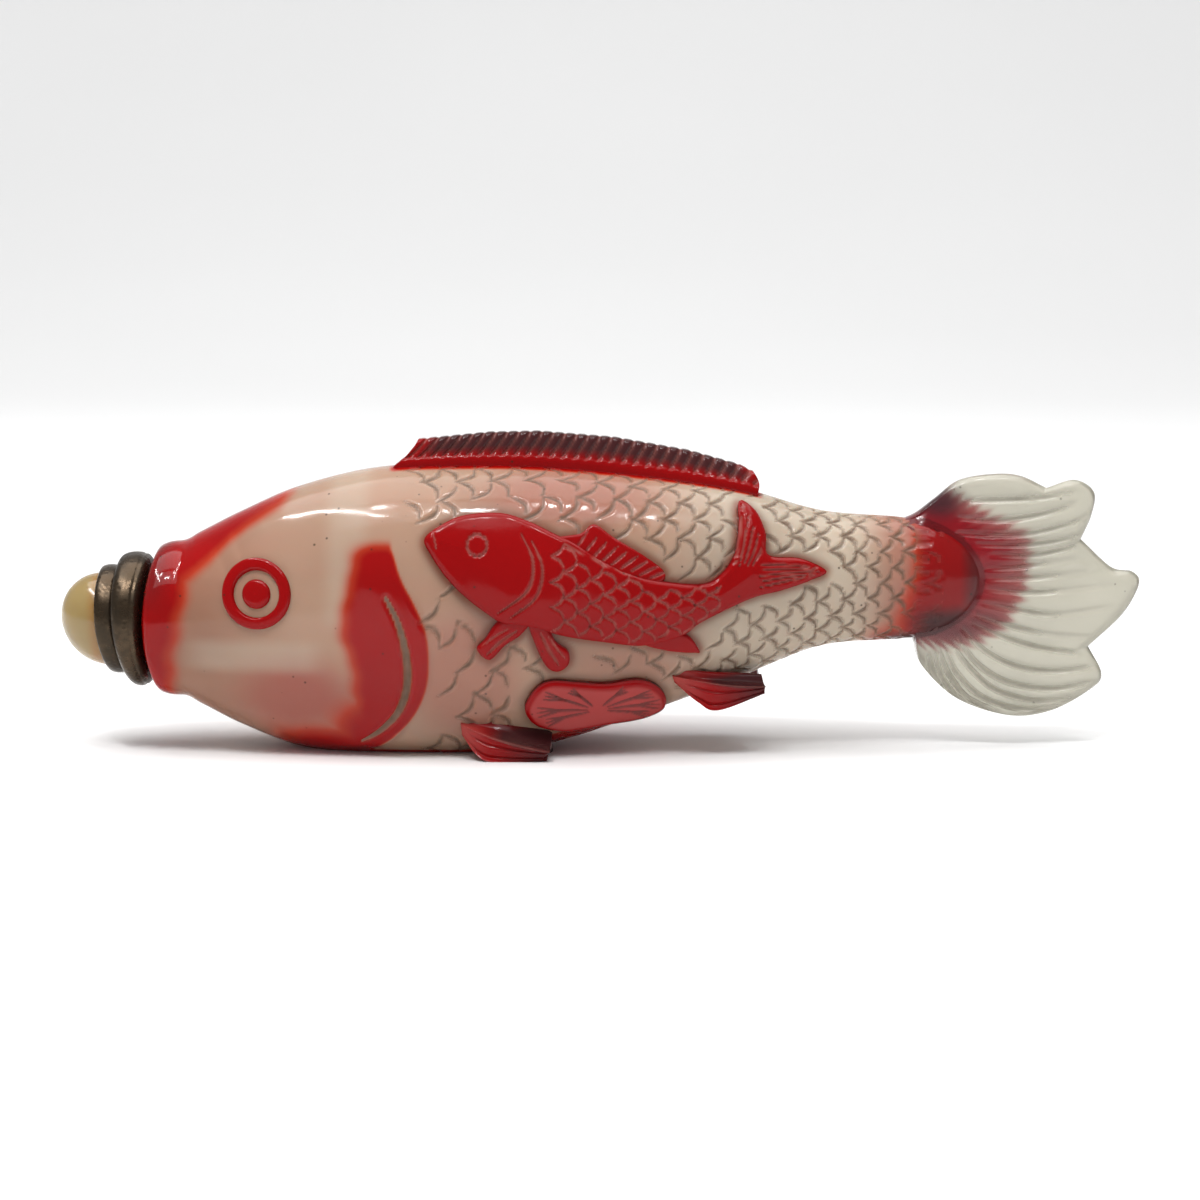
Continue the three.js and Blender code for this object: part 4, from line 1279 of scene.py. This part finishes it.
def eye_disc(name, sizes, inner, outer, far):
    """A raised ring of the eye, or its pupil where inner is 0, rounded on its edges"""
    relief = sizes.eye_relief / MM
    around = 72
    turn = np.linspace(0, 2 * math.pi, around, endpoint=False)
    radii = np.linspace(inner, outer, 14)
    middle = (inner + outer) / 2
    half = (outer - inner) / 2
    rows = []
    for radius in radii:
        spread = (radius - middle) / half if inner > 0 else radius / outer
        rows.append((radius, relief * (0.25 + 0.75 * math.sqrt(max(0, 1 - spread**4)))))
    rows.append((outer, -SKIRT_DEPTH))
    if inner > 0:
        rows.insert(0, (inner, -SKIRT_DEPTH))
    rings = []
    for radius, lift in rows:
        x = EYE[0] + radius * np.cos(turn)
        z = EYE[1] + radius * np.sin(turn)
        angle = flank_angle(x, z)
        rings.append(skin_point(x, angle) + skin_normal(x, angle) * lift)
    points = np.vstack(rings)
    faces = ring_faces(len(rings), around)
    last = (len(rings) - 1) * around
    if inner > 0:
        faces += [(last + j, last + (j + 1) % around, (j + 1) % around, j) for j in range(around)]
    else:
        faces.append(tuple(range(around))[::-1])
        faces.append(tuple(last + j for j in range(around)))
    if far:
        points = points * MIRRORED
    masks = {"cut": np.zeros(len(points)), "overlay": np.full(len(points), 0.9)}
    return outward(make_mesh(name, points, faces, masks))


# Fins and tail

def ring_solid(name, rings, masks):
    """A closed object from rings, with its first and last ring filled"""
    points = np.vstack(rings)
    columns = len(rings[0])
    faces = ring_faces(len(rings), columns)
    last = (len(rings) - 1) * columns
    faces.append(tuple(range(columns))[::-1])
    faces.append(tuple(last + j for j in range(columns)))
    return outward(make_mesh(name, points, faces, masks))


def ray_groove(u, v, rays):
    """Depth of the grooves between the back fin's rays, which lean back toward the tail"""
    phase = ((u - (0.025 + 0.03 * u) * v) * rays) % 1.0
    return (0.5 + 0.5 * math.cos(2 * math.pi * phase)) ** 3.5


def dorsal_section(u, rays):
    """One section of the back fin at a share of its length, and how deep its ray groove is at each level"""
    foot_x = DORSAL_FOOT[0] + DORSAL_FOOT[1] * u
    top_x = DORSAL_TOP[0] + DORSAL_TOP[1] * u
    back = float(through(SECTION_X, SECTION_BACK, np.array([foot_x]))[0])
    top = float(np.interp(top_x, DORSAL_TOP_X, DORSAL_TOP_Z)) - 0.1 * ray_groove(u, 1.0, rays)
    grooves = []
    side = []
    for v in DORSAL_LEVELS:
        z = back + (top - back) * v
        above = max(v, 0.0)
        x = foot_x + (top_x - foot_x) * above + 0.35 * math.sin(math.pi * above)
        half = np.interp(v, [-0.45, 0, 0.24, 0.32, 0.9, 1.0], [1.75, 1.7, 1.62, 1.4, 1.05, 0.75])
        groove = ray_groove(u, v, rays) * float(ease(v, 0.24, 0.36))
        grooves.append(groove)
        side.append((x, half - 0.32 * groove, z))
    ring = np.array(side + [(x, -y, z) for x, y, z in reversed(side)])
    return ring, np.array(grooves + grooves[::-1])


def dorsal_blade(sizes):
    """The back fin: a plain band at its foot, and slanting rays with a notch between each two"""
    rays = sizes.dorsal_rays
    steps = rays * 10
    levels = np.array(DORSAL_LEVELS + DORSAL_LEVELS[::-1])
    rings = []
    smoke = []
    cut = []
    for i in range(steps + 1):
        u = i / steps
        ring, grooves = dorsal_section(u, rays)
        rings.append(ring)
        within = float(ease(u, 0.0, 0.08) * ease(u, 1.0, 0.93))
        smoke.append(ease(levels, 0.24, 0.62) * 0.93 * within)
        cut.append(grooves ** 2 * 0.8)
    masks = {
        "overlay": np.ones(len(levels) * len(rings)),
        "smoke": np.concatenate(smoke),
        "cut": np.concatenate(cut),
    }
    return ring_solid("dorsal_fin", rings, masks)


def tail_edge():
    """The tail's edge in even steps, with each notch kept sharp"""
    parts = []
    for lobe in TAIL_LOBES:
        line = smooth_line(lobe, 0.15)
        part = even_points(line, max(8, int(run_along(line)[-1] / 0.17)))
        parts.append(part[1:] if parts else part)
    return np.vstack(parts)


def tail_groove(spots, lines):
    """Depth of the tail's ray grooves, which fade in the clear middle of the fan"""
    depth = np.zeros(len(spots))
    for k, line in enumerate(lines):
        near, along = line_distance(spots, line)
        swell = np.clip(np.sin(math.pi * np.clip(along * 0.94 + 0.04, 0, 1)), 0, 1) ** 0.5
        if TAIL_FAINT[0] <= k <= TAIL_FAINT[1]:
            swell = swell * (0.25 + 0.75 * ease(along, 0.62, 0.36))
        depth = np.maximum(depth, ease(near, 0.42, 0.05) * swell)
    return depth


def tail_blade(sizes):
    """The clear tail: a fan from the body's end with sagging ray grooves and four lobes"""
    edge = tail_edge()
    count = len(edge)
    share = np.linspace(0, 1, count)
    root_z = TAIL_ROOT[0] + (TAIL_ROOT[1] - TAIL_ROOT[0]) * share
    root = np.stack([31.4 - 1.4 * ease(share, 0.06, 0.0), root_z], axis=1)
    rows = np.concatenate([np.linspace(0, 0.9, 66), [0.93, 0.955, 0.975, 0.99, 1.0]])
    reach = np.linalg.norm(edge - root, axis=1)
    lines = [smooth_line(line, 0.4) for line in TAIL_LINES]
    rings = []
    masks = {"overlay": [], "smoke": [], "cut": []}
    for i in range(count):
        sag = 4 * rows * (1 - rows) * 0.13 * reach[i]
        x = root[i, 0] + (edge[i, 0] - root[i, 0]) * rows
        z = root[i, 1] + (edge[i, 1] - root[i, 1]) * rows - sag
        groove = tail_groove(np.stack([x, z], axis=1), lines) * ease(rows, 1.0, 0.93)
        half = np.interp(rows, [0, 0.8, 0.93, 0.975, 1.0], [2.2, 1.05, 0.95, 0.7, 0.18])
        half = half - sizes.tail_groove_depth / MM * groove
        far_side = np.stack([x, half, z], axis=1)
        near_side = far_side[::-1] * MIRRORED
        rings.append(np.vstack([far_side, near_side]))
        patch = tail_patch(x, z, groove)
        for key in masks:
            masks[key].append(np.concatenate([patch[key], patch[key][::-1]]))
    masks = {key: np.concatenate(value) for key, value in masks.items()}
    return ring_solid("tail_fin", rings, masks)


def tail_patch(x, z, groove):
    """The red that runs out from the body over the tail, darker toward its roots"""
    spots = np.stack([x, z], axis=1)
    loop = smooth_line(TAIL_RED, 0.6, closed=True)
    distance, _ = line_distance(spots, loop, closed=True)
    within = np.where(inside(spots, loop), distance, -distance)
    ragged = 0.35 * np.sin(np.arctan2(z - TAIL_FAN[1], x - TAIL_FAN[0]) * 90)
    red = ease(within + ragged, -0.5, 1.3) * 0.5
    deep = ease(within + ragged, 1.0, 5.5 - 2.5 * ease(z, 16, 21)) * 0.5
    smoke = ease(within, -0.2, 2.2) * ease(z, 15.5, 10.5) * 0.75
    smoke = np.maximum(smoke, blot(x, z, (33.6, 24.6), (3.2, 2.2), 1.2, 0.2) * 0.9)
    return {"overlay": red + deep, "smoke": smoke, "cut": groove * (1 - (red + deep) * 0.8)}


def fin_ring(corners, samples):
    """A smooth ring through a fin's corners, with the same number of points in each span"""
    count = len(corners)
    t = np.linspace(0, 1, samples, endpoint=False)[:, None]
    return np.vstack([span(*(corners[(i + k) % count] for k in (-1, 0, 1, 2)), t) for i in range(count)])


def fin_corners(fin, a, b, c):
    """Corners of a fin's section from its root a over its fold b to its hem c, and back inside the body"""
    thick = fin["thick"]
    inner = -fin["inner"]
    low = a[2] - thick * 1.4
    hollow = (a + b) / 2 + np.array([0, 0.15, -0.25])
    face = [b + (c - b) * share for share in (0.12, 0.4, 0.7, 0.93)]
    under = [c[0], (c[1] + inner) / 2, max(c[2] + 0.25, low)]
    return np.array([[a[0], inner, a[2] - thick * 0.5], a, hollow, b, *face, c, under, [a[0], inner, low]])


def paired_fin(name, fin, far):
    """One fin under the belly: a folded leaf that flares from the flank, with creases in its lower part"""
    steps = 72
    samples = 8
    root, ridge, hem = (even_points(smooth_line(fin[key], 0.05), steps) for key in ("root", "ridge", "hem"))
    rings = []
    masks = {"overlay": [], "smoke": [], "cut": [], "pink": []}
    for i in range(steps):
        t = i / (steps - 1)
        a, b, c = root[i], ridge[i], hem[i]
        ring = fin_ring(fin_corners(fin, a, b, c), samples)
        # The fold is corner 3 and the hem corner 8, so the fin's face lies between them
        place = np.arange(len(ring)) / samples
        down = np.clip((place - 3) / 5, 0, 1)
        on_face = (place > 3) & (place < 8)
        crease = np.clip(np.sin(math.pi * (down * fin["creases"] * 2 + 0.9 * t)), 0, 1) ** 4 * on_face
        crease = crease * ease(down, 0.05, 0.2) * ease(down, 1.0, 0.85)
        ring[:, 1] += 0.22 * crease * float(ease(t, 0.05, 0.3))
        closing = 1 - 0.35 * float(ease(t, 0.93, 1.0)) ** 2
        middle = (a + b + c) / 3
        ring = np.where(on_face[:, None], middle + (ring - middle) * closing, ring)
        ring[:, 2] = np.maximum(ring[:, 2], 0)
        rings.append(ring * MIRRORED if far else ring)
        tip = float(ease(t, 0.38, 0.95))
        behind = ease(np.abs(place - 2.4), 1.6, 0.3) * float(ease(t, 0.2, 0.5))
        masks["overlay"].append(np.full(len(ring), 0.42 + 0.58 * float(ease(t, 0.0, 0.35))))
        masks["smoke"].append(np.clip(0.8 * tip + 0.85 * behind, 0, 0.93) * (1 - 0.35 * crease))
        masks["cut"].append(ease(np.abs(place - 3.0), 0.35, 0.05) * 0.6 * float(ease(t, 0.1, 0.3)))
        masks["pink"].append(np.full(len(ring), 0.7 * float(ease(t, 0.42, 0.05))))
    return ring_solid(name, rings, {key: np.concatenate(value) for key, value in masks.items()})


# Stopper

def collar_profile():
    """Half section of the collar as place along the axis and radius, from the plug to the seat"""
    start = MOUTH_X - MOUTH_GAP
    plug = start + PLUG_LONG
    profile = [(plug, 0.0), (plug, PLUG_RADIUS - PLUG_BEVEL), (plug - PLUG_BEVEL, PLUG_RADIUS),
               (start, PLUG_RADIUS)]
    for angle in np.linspace(0.3, math.pi - 0.1, 34):
        crease = 0.1 * math.exp(-((angle - 1.05) / 0.1) ** 2)
        x = start - BIG_RING * (1 - math.cos(angle)) / 2
        profile.append((x, BIG_RING_FOOT + BIG_RING_RISE * math.sin(angle) ** 0.5 - crease))
    place = start - BIG_RING
    for angle in np.linspace(0.12, math.pi - 0.3, 14):
        x = place - END_RING * (1 - math.cos(angle)) / 2
        profile.append((x, END_RING_FOOT + END_RING_RISE * math.sin(angle) ** 0.6))
    place -= END_RING
    seat = place + SEAT_DEPTH
    return profile + [(place, END_RING_FOOT - 0.05), (seat, END_RING_FOOT - 0.1), (seat, 0.0)]


def lean(thing, bow=0.0):
    """Leans the stopper's outer part a little, as it is set by hand, and bows it to fit the lip"""
    for vertex in thing.data.vertices:
        x, y, z = vertex.co.x / MM, vertex.co.y / MM, vertex.co.z / MM
        share = float(ease(x, MOUTH_X - 0.6, MOUTH_X - 3.2))
        vertex.co.x = (x - (z - AXIS_Z) * LEAN * share - bow * (y / MOUTH_HALF) ** 2) * MM
    return thing


def turned_tree():
    """Geometry nodes that sweep a half section round the X axis and give it a finish"""
    tree = bpy.data.node_groups.new("Turned piece", "GeometryNodeTree")
    tree.interface.new_socket("Geometry", in_out="INPUT", socket_type="NodeSocketGeometry")
    steps = tree.interface.new_socket("Sides", in_out="INPUT", socket_type="NodeSocketInt")
    steps.default_value = 96
    height = tree.interface.new_socket("Axis height", in_out="INPUT", socket_type="NodeSocketFloat")
    height.default_value = AXIS_Z * MM
    finish = tree.interface.new_socket("Finish", in_out="INPUT", socket_type="NodeSocketMaterial")
    tree.interface.new_socket("Geometry", in_out="OUTPUT", socket_type="NodeSocketGeometry")
    given = tree.nodes.new("NodeGroupInput")
    out = tree.nodes.new("NodeGroupOutput")
    instances = tree.nodes.new("GeometryNodeInstanceOnPoints")
    ring = tree.nodes.new("GeometryNodeMeshLine")
    ring.mode = "OFFSET"
    ring.inputs["Offset"].default_value = (0, 0, 0)
    turn = tree.nodes.new("ShaderNodeMath")
    turn.operation = "DIVIDE"
    turn.inputs[0].default_value = 2 * math.pi
    share = tree.nodes.new("ShaderNodeMath")
    share.operation = "MULTIPLY"
    index = tree.nodes.new("GeometryNodeInputIndex")
    spin = tree.nodes.new("ShaderNodeCombineXYZ")
    realize = tree.nodes.new("GeometryNodeRealizeInstances")
    lift = tree.nodes.new("GeometryNodeTransform")
    offset = tree.nodes.new("ShaderNodeCombineXYZ")
    set_finish = tree.nodes.new("GeometryNodeSetMaterial")
    link = tree.links.new
    link(given.outputs["Sides"], ring.inputs["Count"])
    link(given.outputs["Sides"], turn.inputs[1])
    link(index.outputs[0], share.inputs[0])
    link(turn.outputs[0], share.inputs[1])
    link(share.outputs[0], spin.inputs["X"])
    link(ring.outputs["Mesh"], instances.inputs["Points"])
    link(given.outputs["Geometry"], instances.inputs["Instance"])
    link(spin.outputs[0], instances.inputs["Rotation"])
    link(instances.outputs[0], realize.inputs[0])
    link(realize.outputs[0], lift.inputs["Geometry"])
    link(given.outputs["Axis height"], offset.inputs["Z"])
    link(offset.outputs[0], lift.inputs["Translation"])
    link(lift.outputs[0], set_finish.inputs["Geometry"])
    link(given.outputs["Finish"], set_finish.inputs["Material"])
    link(set_finish.outputs[0], out.inputs[0])
    return tree, {"Sides": steps.identifier, "Axis height": height.identifier, "Finish": finish.identifier}


def wedge_mesh(name, profile, sides):
    """One wedge of a turned piece: the half section and its copy one step further round"""
    step = 2 * math.pi / sides
    points = []
    for turn in (0.0, step):
        for x, radius in profile:
            points.append((x, radius * math.sin(turn), radius * math.cos(turn)))
    count = len(profile)
    faces = [(i, i + 1, count + i + 1, count + i) for i in range(count - 1)]
    return make_mesh(name, points, faces)


def turned_piece(name, profile, material, sides=120):
    """A turned piece: its wedge repeated round the stopper's axis by geometry nodes, then baked"""
    wedge = wedge_mesh(name, profile, sides)
    tree, sockets = turned_tree()
    modifier = wedge.modifiers.new("Turned", "NODES")
    modifier.node_group = tree
    modifier[sockets["Sides"]] = sides
    modifier[sockets["Axis height"]] = AXIS_Z * MM
    modifier[sockets["Finish"]] = material
    return bake(wedge)


def bake(thing):
    """Turns what an object's modifiers make into a plain mesh, with its seams closed"""
    graph = bpy.context.evaluated_depsgraph_get()
    mesh = bpy.data.meshes.new_from_object(thing.evaluated_get(graph))
    thing.modifiers.clear()
    old = thing.data
    thing.data = mesh
    bpy.data.meshes.remove(old)
    mesh.name = thing.name
    close_seams(mesh)
    mesh.shade_smooth()
    return outward(thing)


def close_seams(mesh):
    """Merges a turned mesh's seams and poles, and points its faces the same way"""
    work = bmesh.new()
    work.from_mesh(mesh)
    bmesh.ops.remove_doubles(work, verts=work.verts, dist=2e-6)
    bmesh.ops.dissolve_degenerate(work, edges=work.edges, dist=1e-7)
    bmesh.ops.recalc_face_normals(work, faces=work.faces)
    work.to_mesh(mesh)
    work.free()


def cabochon_profile():
    """Half section of the dome, from its seat in the collar to its tip"""
    base = MOUTH_X - MOUTH_GAP - BIG_RING - END_RING + CABOCHON_SUNK
    tip = CABOCHON_LOW[0] / MM
    radius = (CABOCHON_HIGH[2] - CABOCHON_LOW[2]) / 2 / MM
    rim = 0.6
    profile = [(base, 0.0), (base, radius - 0.15), (base - 0.15, radius)]
    for angle in np.linspace(0, math.pi / 2, 28):
        x = base - rim - (base - rim - tip) * math.sin(angle)
        profile.append((x, radius * math.cos(angle)))
    profile[-1] = (tip, 0.0)
    return profile


# Operators

class MakeBody(Operator):
    """Builds the hollow glass body with its scales, gill plates and colours"""

    bl_idname = "carp.make_body"
    bl_label = "Glass Body"

    def execute(self, context):
        body = build_body(context.scene.carp_sizes)
        dress(body, shared_material("Overlay glass body", body_material), "overlay_glass", "bottle")
        return {"FINISHED"}


class MakeSmallCarps(Operator):
    """Carves the small carps that swim on both flanks"""

    bl_idname = "carp.make_small_carps"
    bl_label = "Small Carps"

    def execute(self, context):
        red = shared_material("Red overlay relief", relief_material)
        for far in (False, True):
            for piece in small_carp(context.scene.carp_sizes, far):
                dress(piece, red, "overlay_glass")
        return {"FINISHED"}


class MakeLeaves(Operator):
    """Carves a lotus leaf low on each flank"""

    bl_idname = "carp.make_leaves"
    bl_label = "Lotus Leaves"

    def execute(self, context):
        red = shared_material("Red overlay relief", relief_material)
        relief = context.scene.carp_sizes.leaf_relief / MM
        for far, tag in ((False, "near"), (True, "far")):
            piece = lay_patch("lotus_leaf_" + tag, LEAF, relief, 0.55, 0.12, far, leaf_lines(), tint=0.85,
                              dark_cuts=0.7)
            dress(piece, red, "overlay_glass")
        return {"FINISHED"}


class MakeEyes(Operator):
    """Raises the eyes' rings and pupils"""

    bl_idname = "carp.make_eyes"
    bl_label = "Eyes"

    def execute(self, context):
        red = shared_material("Red overlay relief", relief_material)
        sizes = context.scene.carp_sizes
        for far, tag in ((False, "near"), (True, "far")):
            ring = eye_disc("eye_ring_" + tag, sizes, EYE_RING_INNER, EYE_RING_OUTER, far)
            pupil = eye_disc("pupil_" + tag, sizes, 0.0, PUPIL_RADIUS, far)
            dress(ring, red, "overlay_glass")
            dress(pupil, red, "overlay_glass")
        return {"FINISHED"}


class MakeDorsalFin(Operator):
    """Builds the long fin along the back"""

    bl_idname = "carp.make_dorsal_fin"
    bl_label = "Dorsal Fin"

    def execute(self, context):
        piece = dorsal_blade(context.scene.carp_sizes)
        dress(piece, shared_material("Red overlay relief", relief_material), "overlay_glass")
        return {"FINISHED"}


class MakeTail(Operator):
    """Builds the clear fan of the tail"""

    bl_idname = "carp.make_tail"
    bl_label = "Tail"

    def execute(self, context):
        piece = tail_blade(context.scene.carp_sizes)
        dress(piece, shared_material("Clear tail glass", tail_material), "overlay_glass")
        return {"FINISHED"}


class MakePairedFins(Operator):
    """Builds the two pairs of fins under the belly"""

    bl_idname = "carp.make_paired_fins"
    bl_label = "Paired Fins"

    def execute(self, context):
        red = shared_material("Red overlay relief", relief_material)
        for far, tag in ((False, "near"), (True, "far")):
            dress(paired_fin("pelvic_fin_" + tag, PELVIC_FIN, far), red, "overlay_glass")
            dress(paired_fin("anal_fin_" + tag, ANAL_FIN, far), red, "overlay_glass")
        return {"FINISHED"}


class MakeStopper(Operator):
    """Turns the metal collar and the pale cabochon of the stopper"""

    bl_idname = "carp.make_stopper"
    bl_label = "Stopper"

    def execute(self, context):
        metal = shared_material("Dull collar metal", metal_material)
        collar = lean(turned_piece("collar", collar_profile(), metal), MOUTH_BOW)
        dress(collar, metal, "collar_metal", "stopper_collar")
        stone = shared_material("Pale cabochon", cabochon_material)
        dome = lean(turned_piece("cabochon", cabochon_profile(), stone))
        dress(dome, stone, "cabochon_stone", "stopper_cabochon")
        return {"FINISHED"}


class MakeStage(Operator):
    """Sets the pale floor, the light and the camera"""

    bl_idname = "carp.make_stage"
    bl_label = "Stage"

    def execute(self, context):
        stage = context.scene.carp_stage
        make_floor()
        make_light(stage)
        make_camera(stage)
        context.scene.view_settings.view_transform = "Standard"
        return {"FINISHED"}


# Floor, light and camera

def make_floor():
    """A pale sweep: flat under the object and rising smoothly behind it, from distances in metres"""
    turn = np.linspace(0.1, math.pi / 2, 12)
    depths = np.concatenate([np.linspace(-0.9, 0.5, 6), 0.5 + 0.5 * np.sin(turn), [1.0]])
    rises = np.concatenate([np.zeros(6), 0.5 - 0.5 * np.cos(turn), [1.6]])
    points = []
    for y, z in zip(depths, rises):
        points += [(-1.6 / MM, y / MM, z / MM), (1.6 / MM, y / MM, z / MM)]
    faces = [(2 * i, 2 * i + 1, 2 * i + 3, 2 * i + 2) for i in range(len(depths) - 1)]
    floor = make_mesh("floor", points, faces)
    material, tree, shader = new_material("Pale floor", Roughness=0.75)
    shade = mapped(tree, noise(tree, 3.0, 2.0), 0.3, 0.7, 0.86, 0.89)
    colour = node(tree, "ShaderNodeCombineColor")
    for socket in colour.inputs:
        tree.links.new(shade, socket)
    tree.links.new(colour.outputs[0], shader.inputs["Base Color"])
    floor.data.materials.append(material)


def area_lamp(name, place, size, power):
    """A rectangular lamp that points at the bottle"""
    data = bpy.data.lights.new(name, "AREA")
    data.shape = "RECTANGLE"
    data.size, data.size_y = size
    data.energy = power
    lamp = bpy.data.objects.new(name, data)
    lamp.location = place
    target = Vector((0, 0, 0.015))
    lamp.rotation_euler = (target - Vector(place)).to_track_quat("-Z", "Y").to_euler()
    bpy.context.scene.collection.objects.link(lamp)


def make_light(stage):
    """Even light, four small lamps for the glints, a strip for the long one, and two wide soft lamps"""
    world = bpy.data.worlds.new("Soft room")
    world.use_nodes = True
    background = world.node_tree.nodes["Background"]
    background.inputs["Color"].default_value = (1, 1, 1, 1)
    background.inputs["Strength"].default_value = stage.sky
    bpy.context.scene.world = world
    for i, (x, y) in enumerate(((-0.17, -0.2), (-0.05, -0.3), (0.06, -0.22), (0.16, -0.3))):
        area_lamp("lamp_%d" % i, (x, y, 0.6), (0.035, 0.035), stage.lamps)
    area_lamp("strip", (-0.24, -0.13, 0.52), (0.38, 0.012), stage.lamps * 3.5)
    area_lamp("soft_top", (0.0, 0.15, 0.9), (1.1, 0.7), stage.soft_top)
    area_lamp("soft_front", (0.0, -0.5, 1.0), (1.0, 0.4), stage.soft_front)


def make_camera(stage):
    """A camera in front of the near flank, framed as in the photograph"""
    data = bpy.data.cameras.new("camera")
    data.sensor_width = 36
    data.lens = data.sensor_width * stage.distance / stage.view_width
    camera = bpy.data.objects.new("camera", data)
    target = Vector((0, 0, stage.view_height))
    back = Vector((0, -math.cos(stage.elevation), math.sin(stage.elevation)))
    camera.location = target + back * stage.distance
    camera.rotation_euler = (-back).to_track_quat("-Z", "Y").to_euler()
    bpy.context.scene.collection.objects.link(camera)
    bpy.context.scene.camera = camera


# Panel and start

class CarpPanel(Panel):
    """Lists the pieces of the bottle"""

    bl_idname = "VIEW3D_PT_carp_bottle"
    bl_label = "Carp Bottle"
    bl_space_type = "VIEW_3D"
    bl_region_type = "UI"
    bl_category = "Carp Bottle"

    def draw(self, context):
        for maker in MAKERS:
            self.layout.operator(maker.bl_idname)


MAKERS = (MakeStage, MakeBody, MakeSmallCarps, MakeLeaves, MakeEyes, MakeDorsalFin, MakeTail, MakePairedFins,
          MakeStopper)
GROUPS = {"carp_sizes": CarpSizes, "carp_colours": CarpColours, "carp_stage": CarpStage}


def register():
    """Adds the settings, the operators and the panel"""
    for kind in (*GROUPS.values(), *MAKERS, CarpPanel):
        bpy.utils.register_class(kind)
    for name, kind in GROUPS.items():
        setattr(bpy.types.Scene, name, PointerProperty(type=kind))


def unregister():
    """Takes them away again"""
    for name in GROUPS:
        delattr(bpy.types.Scene, name)
    for kind in (CarpPanel, *MAKERS, *GROUPS.values()):
        bpy.utils.unregister_class(kind)


def main():
    """Makes every piece in order"""
    register()
    for maker in MAKERS:
        group, name = maker.bl_idname.split(".")
        getattr(getattr(bpy.ops, group), name)()


if __name__ == "__main__":
    main()
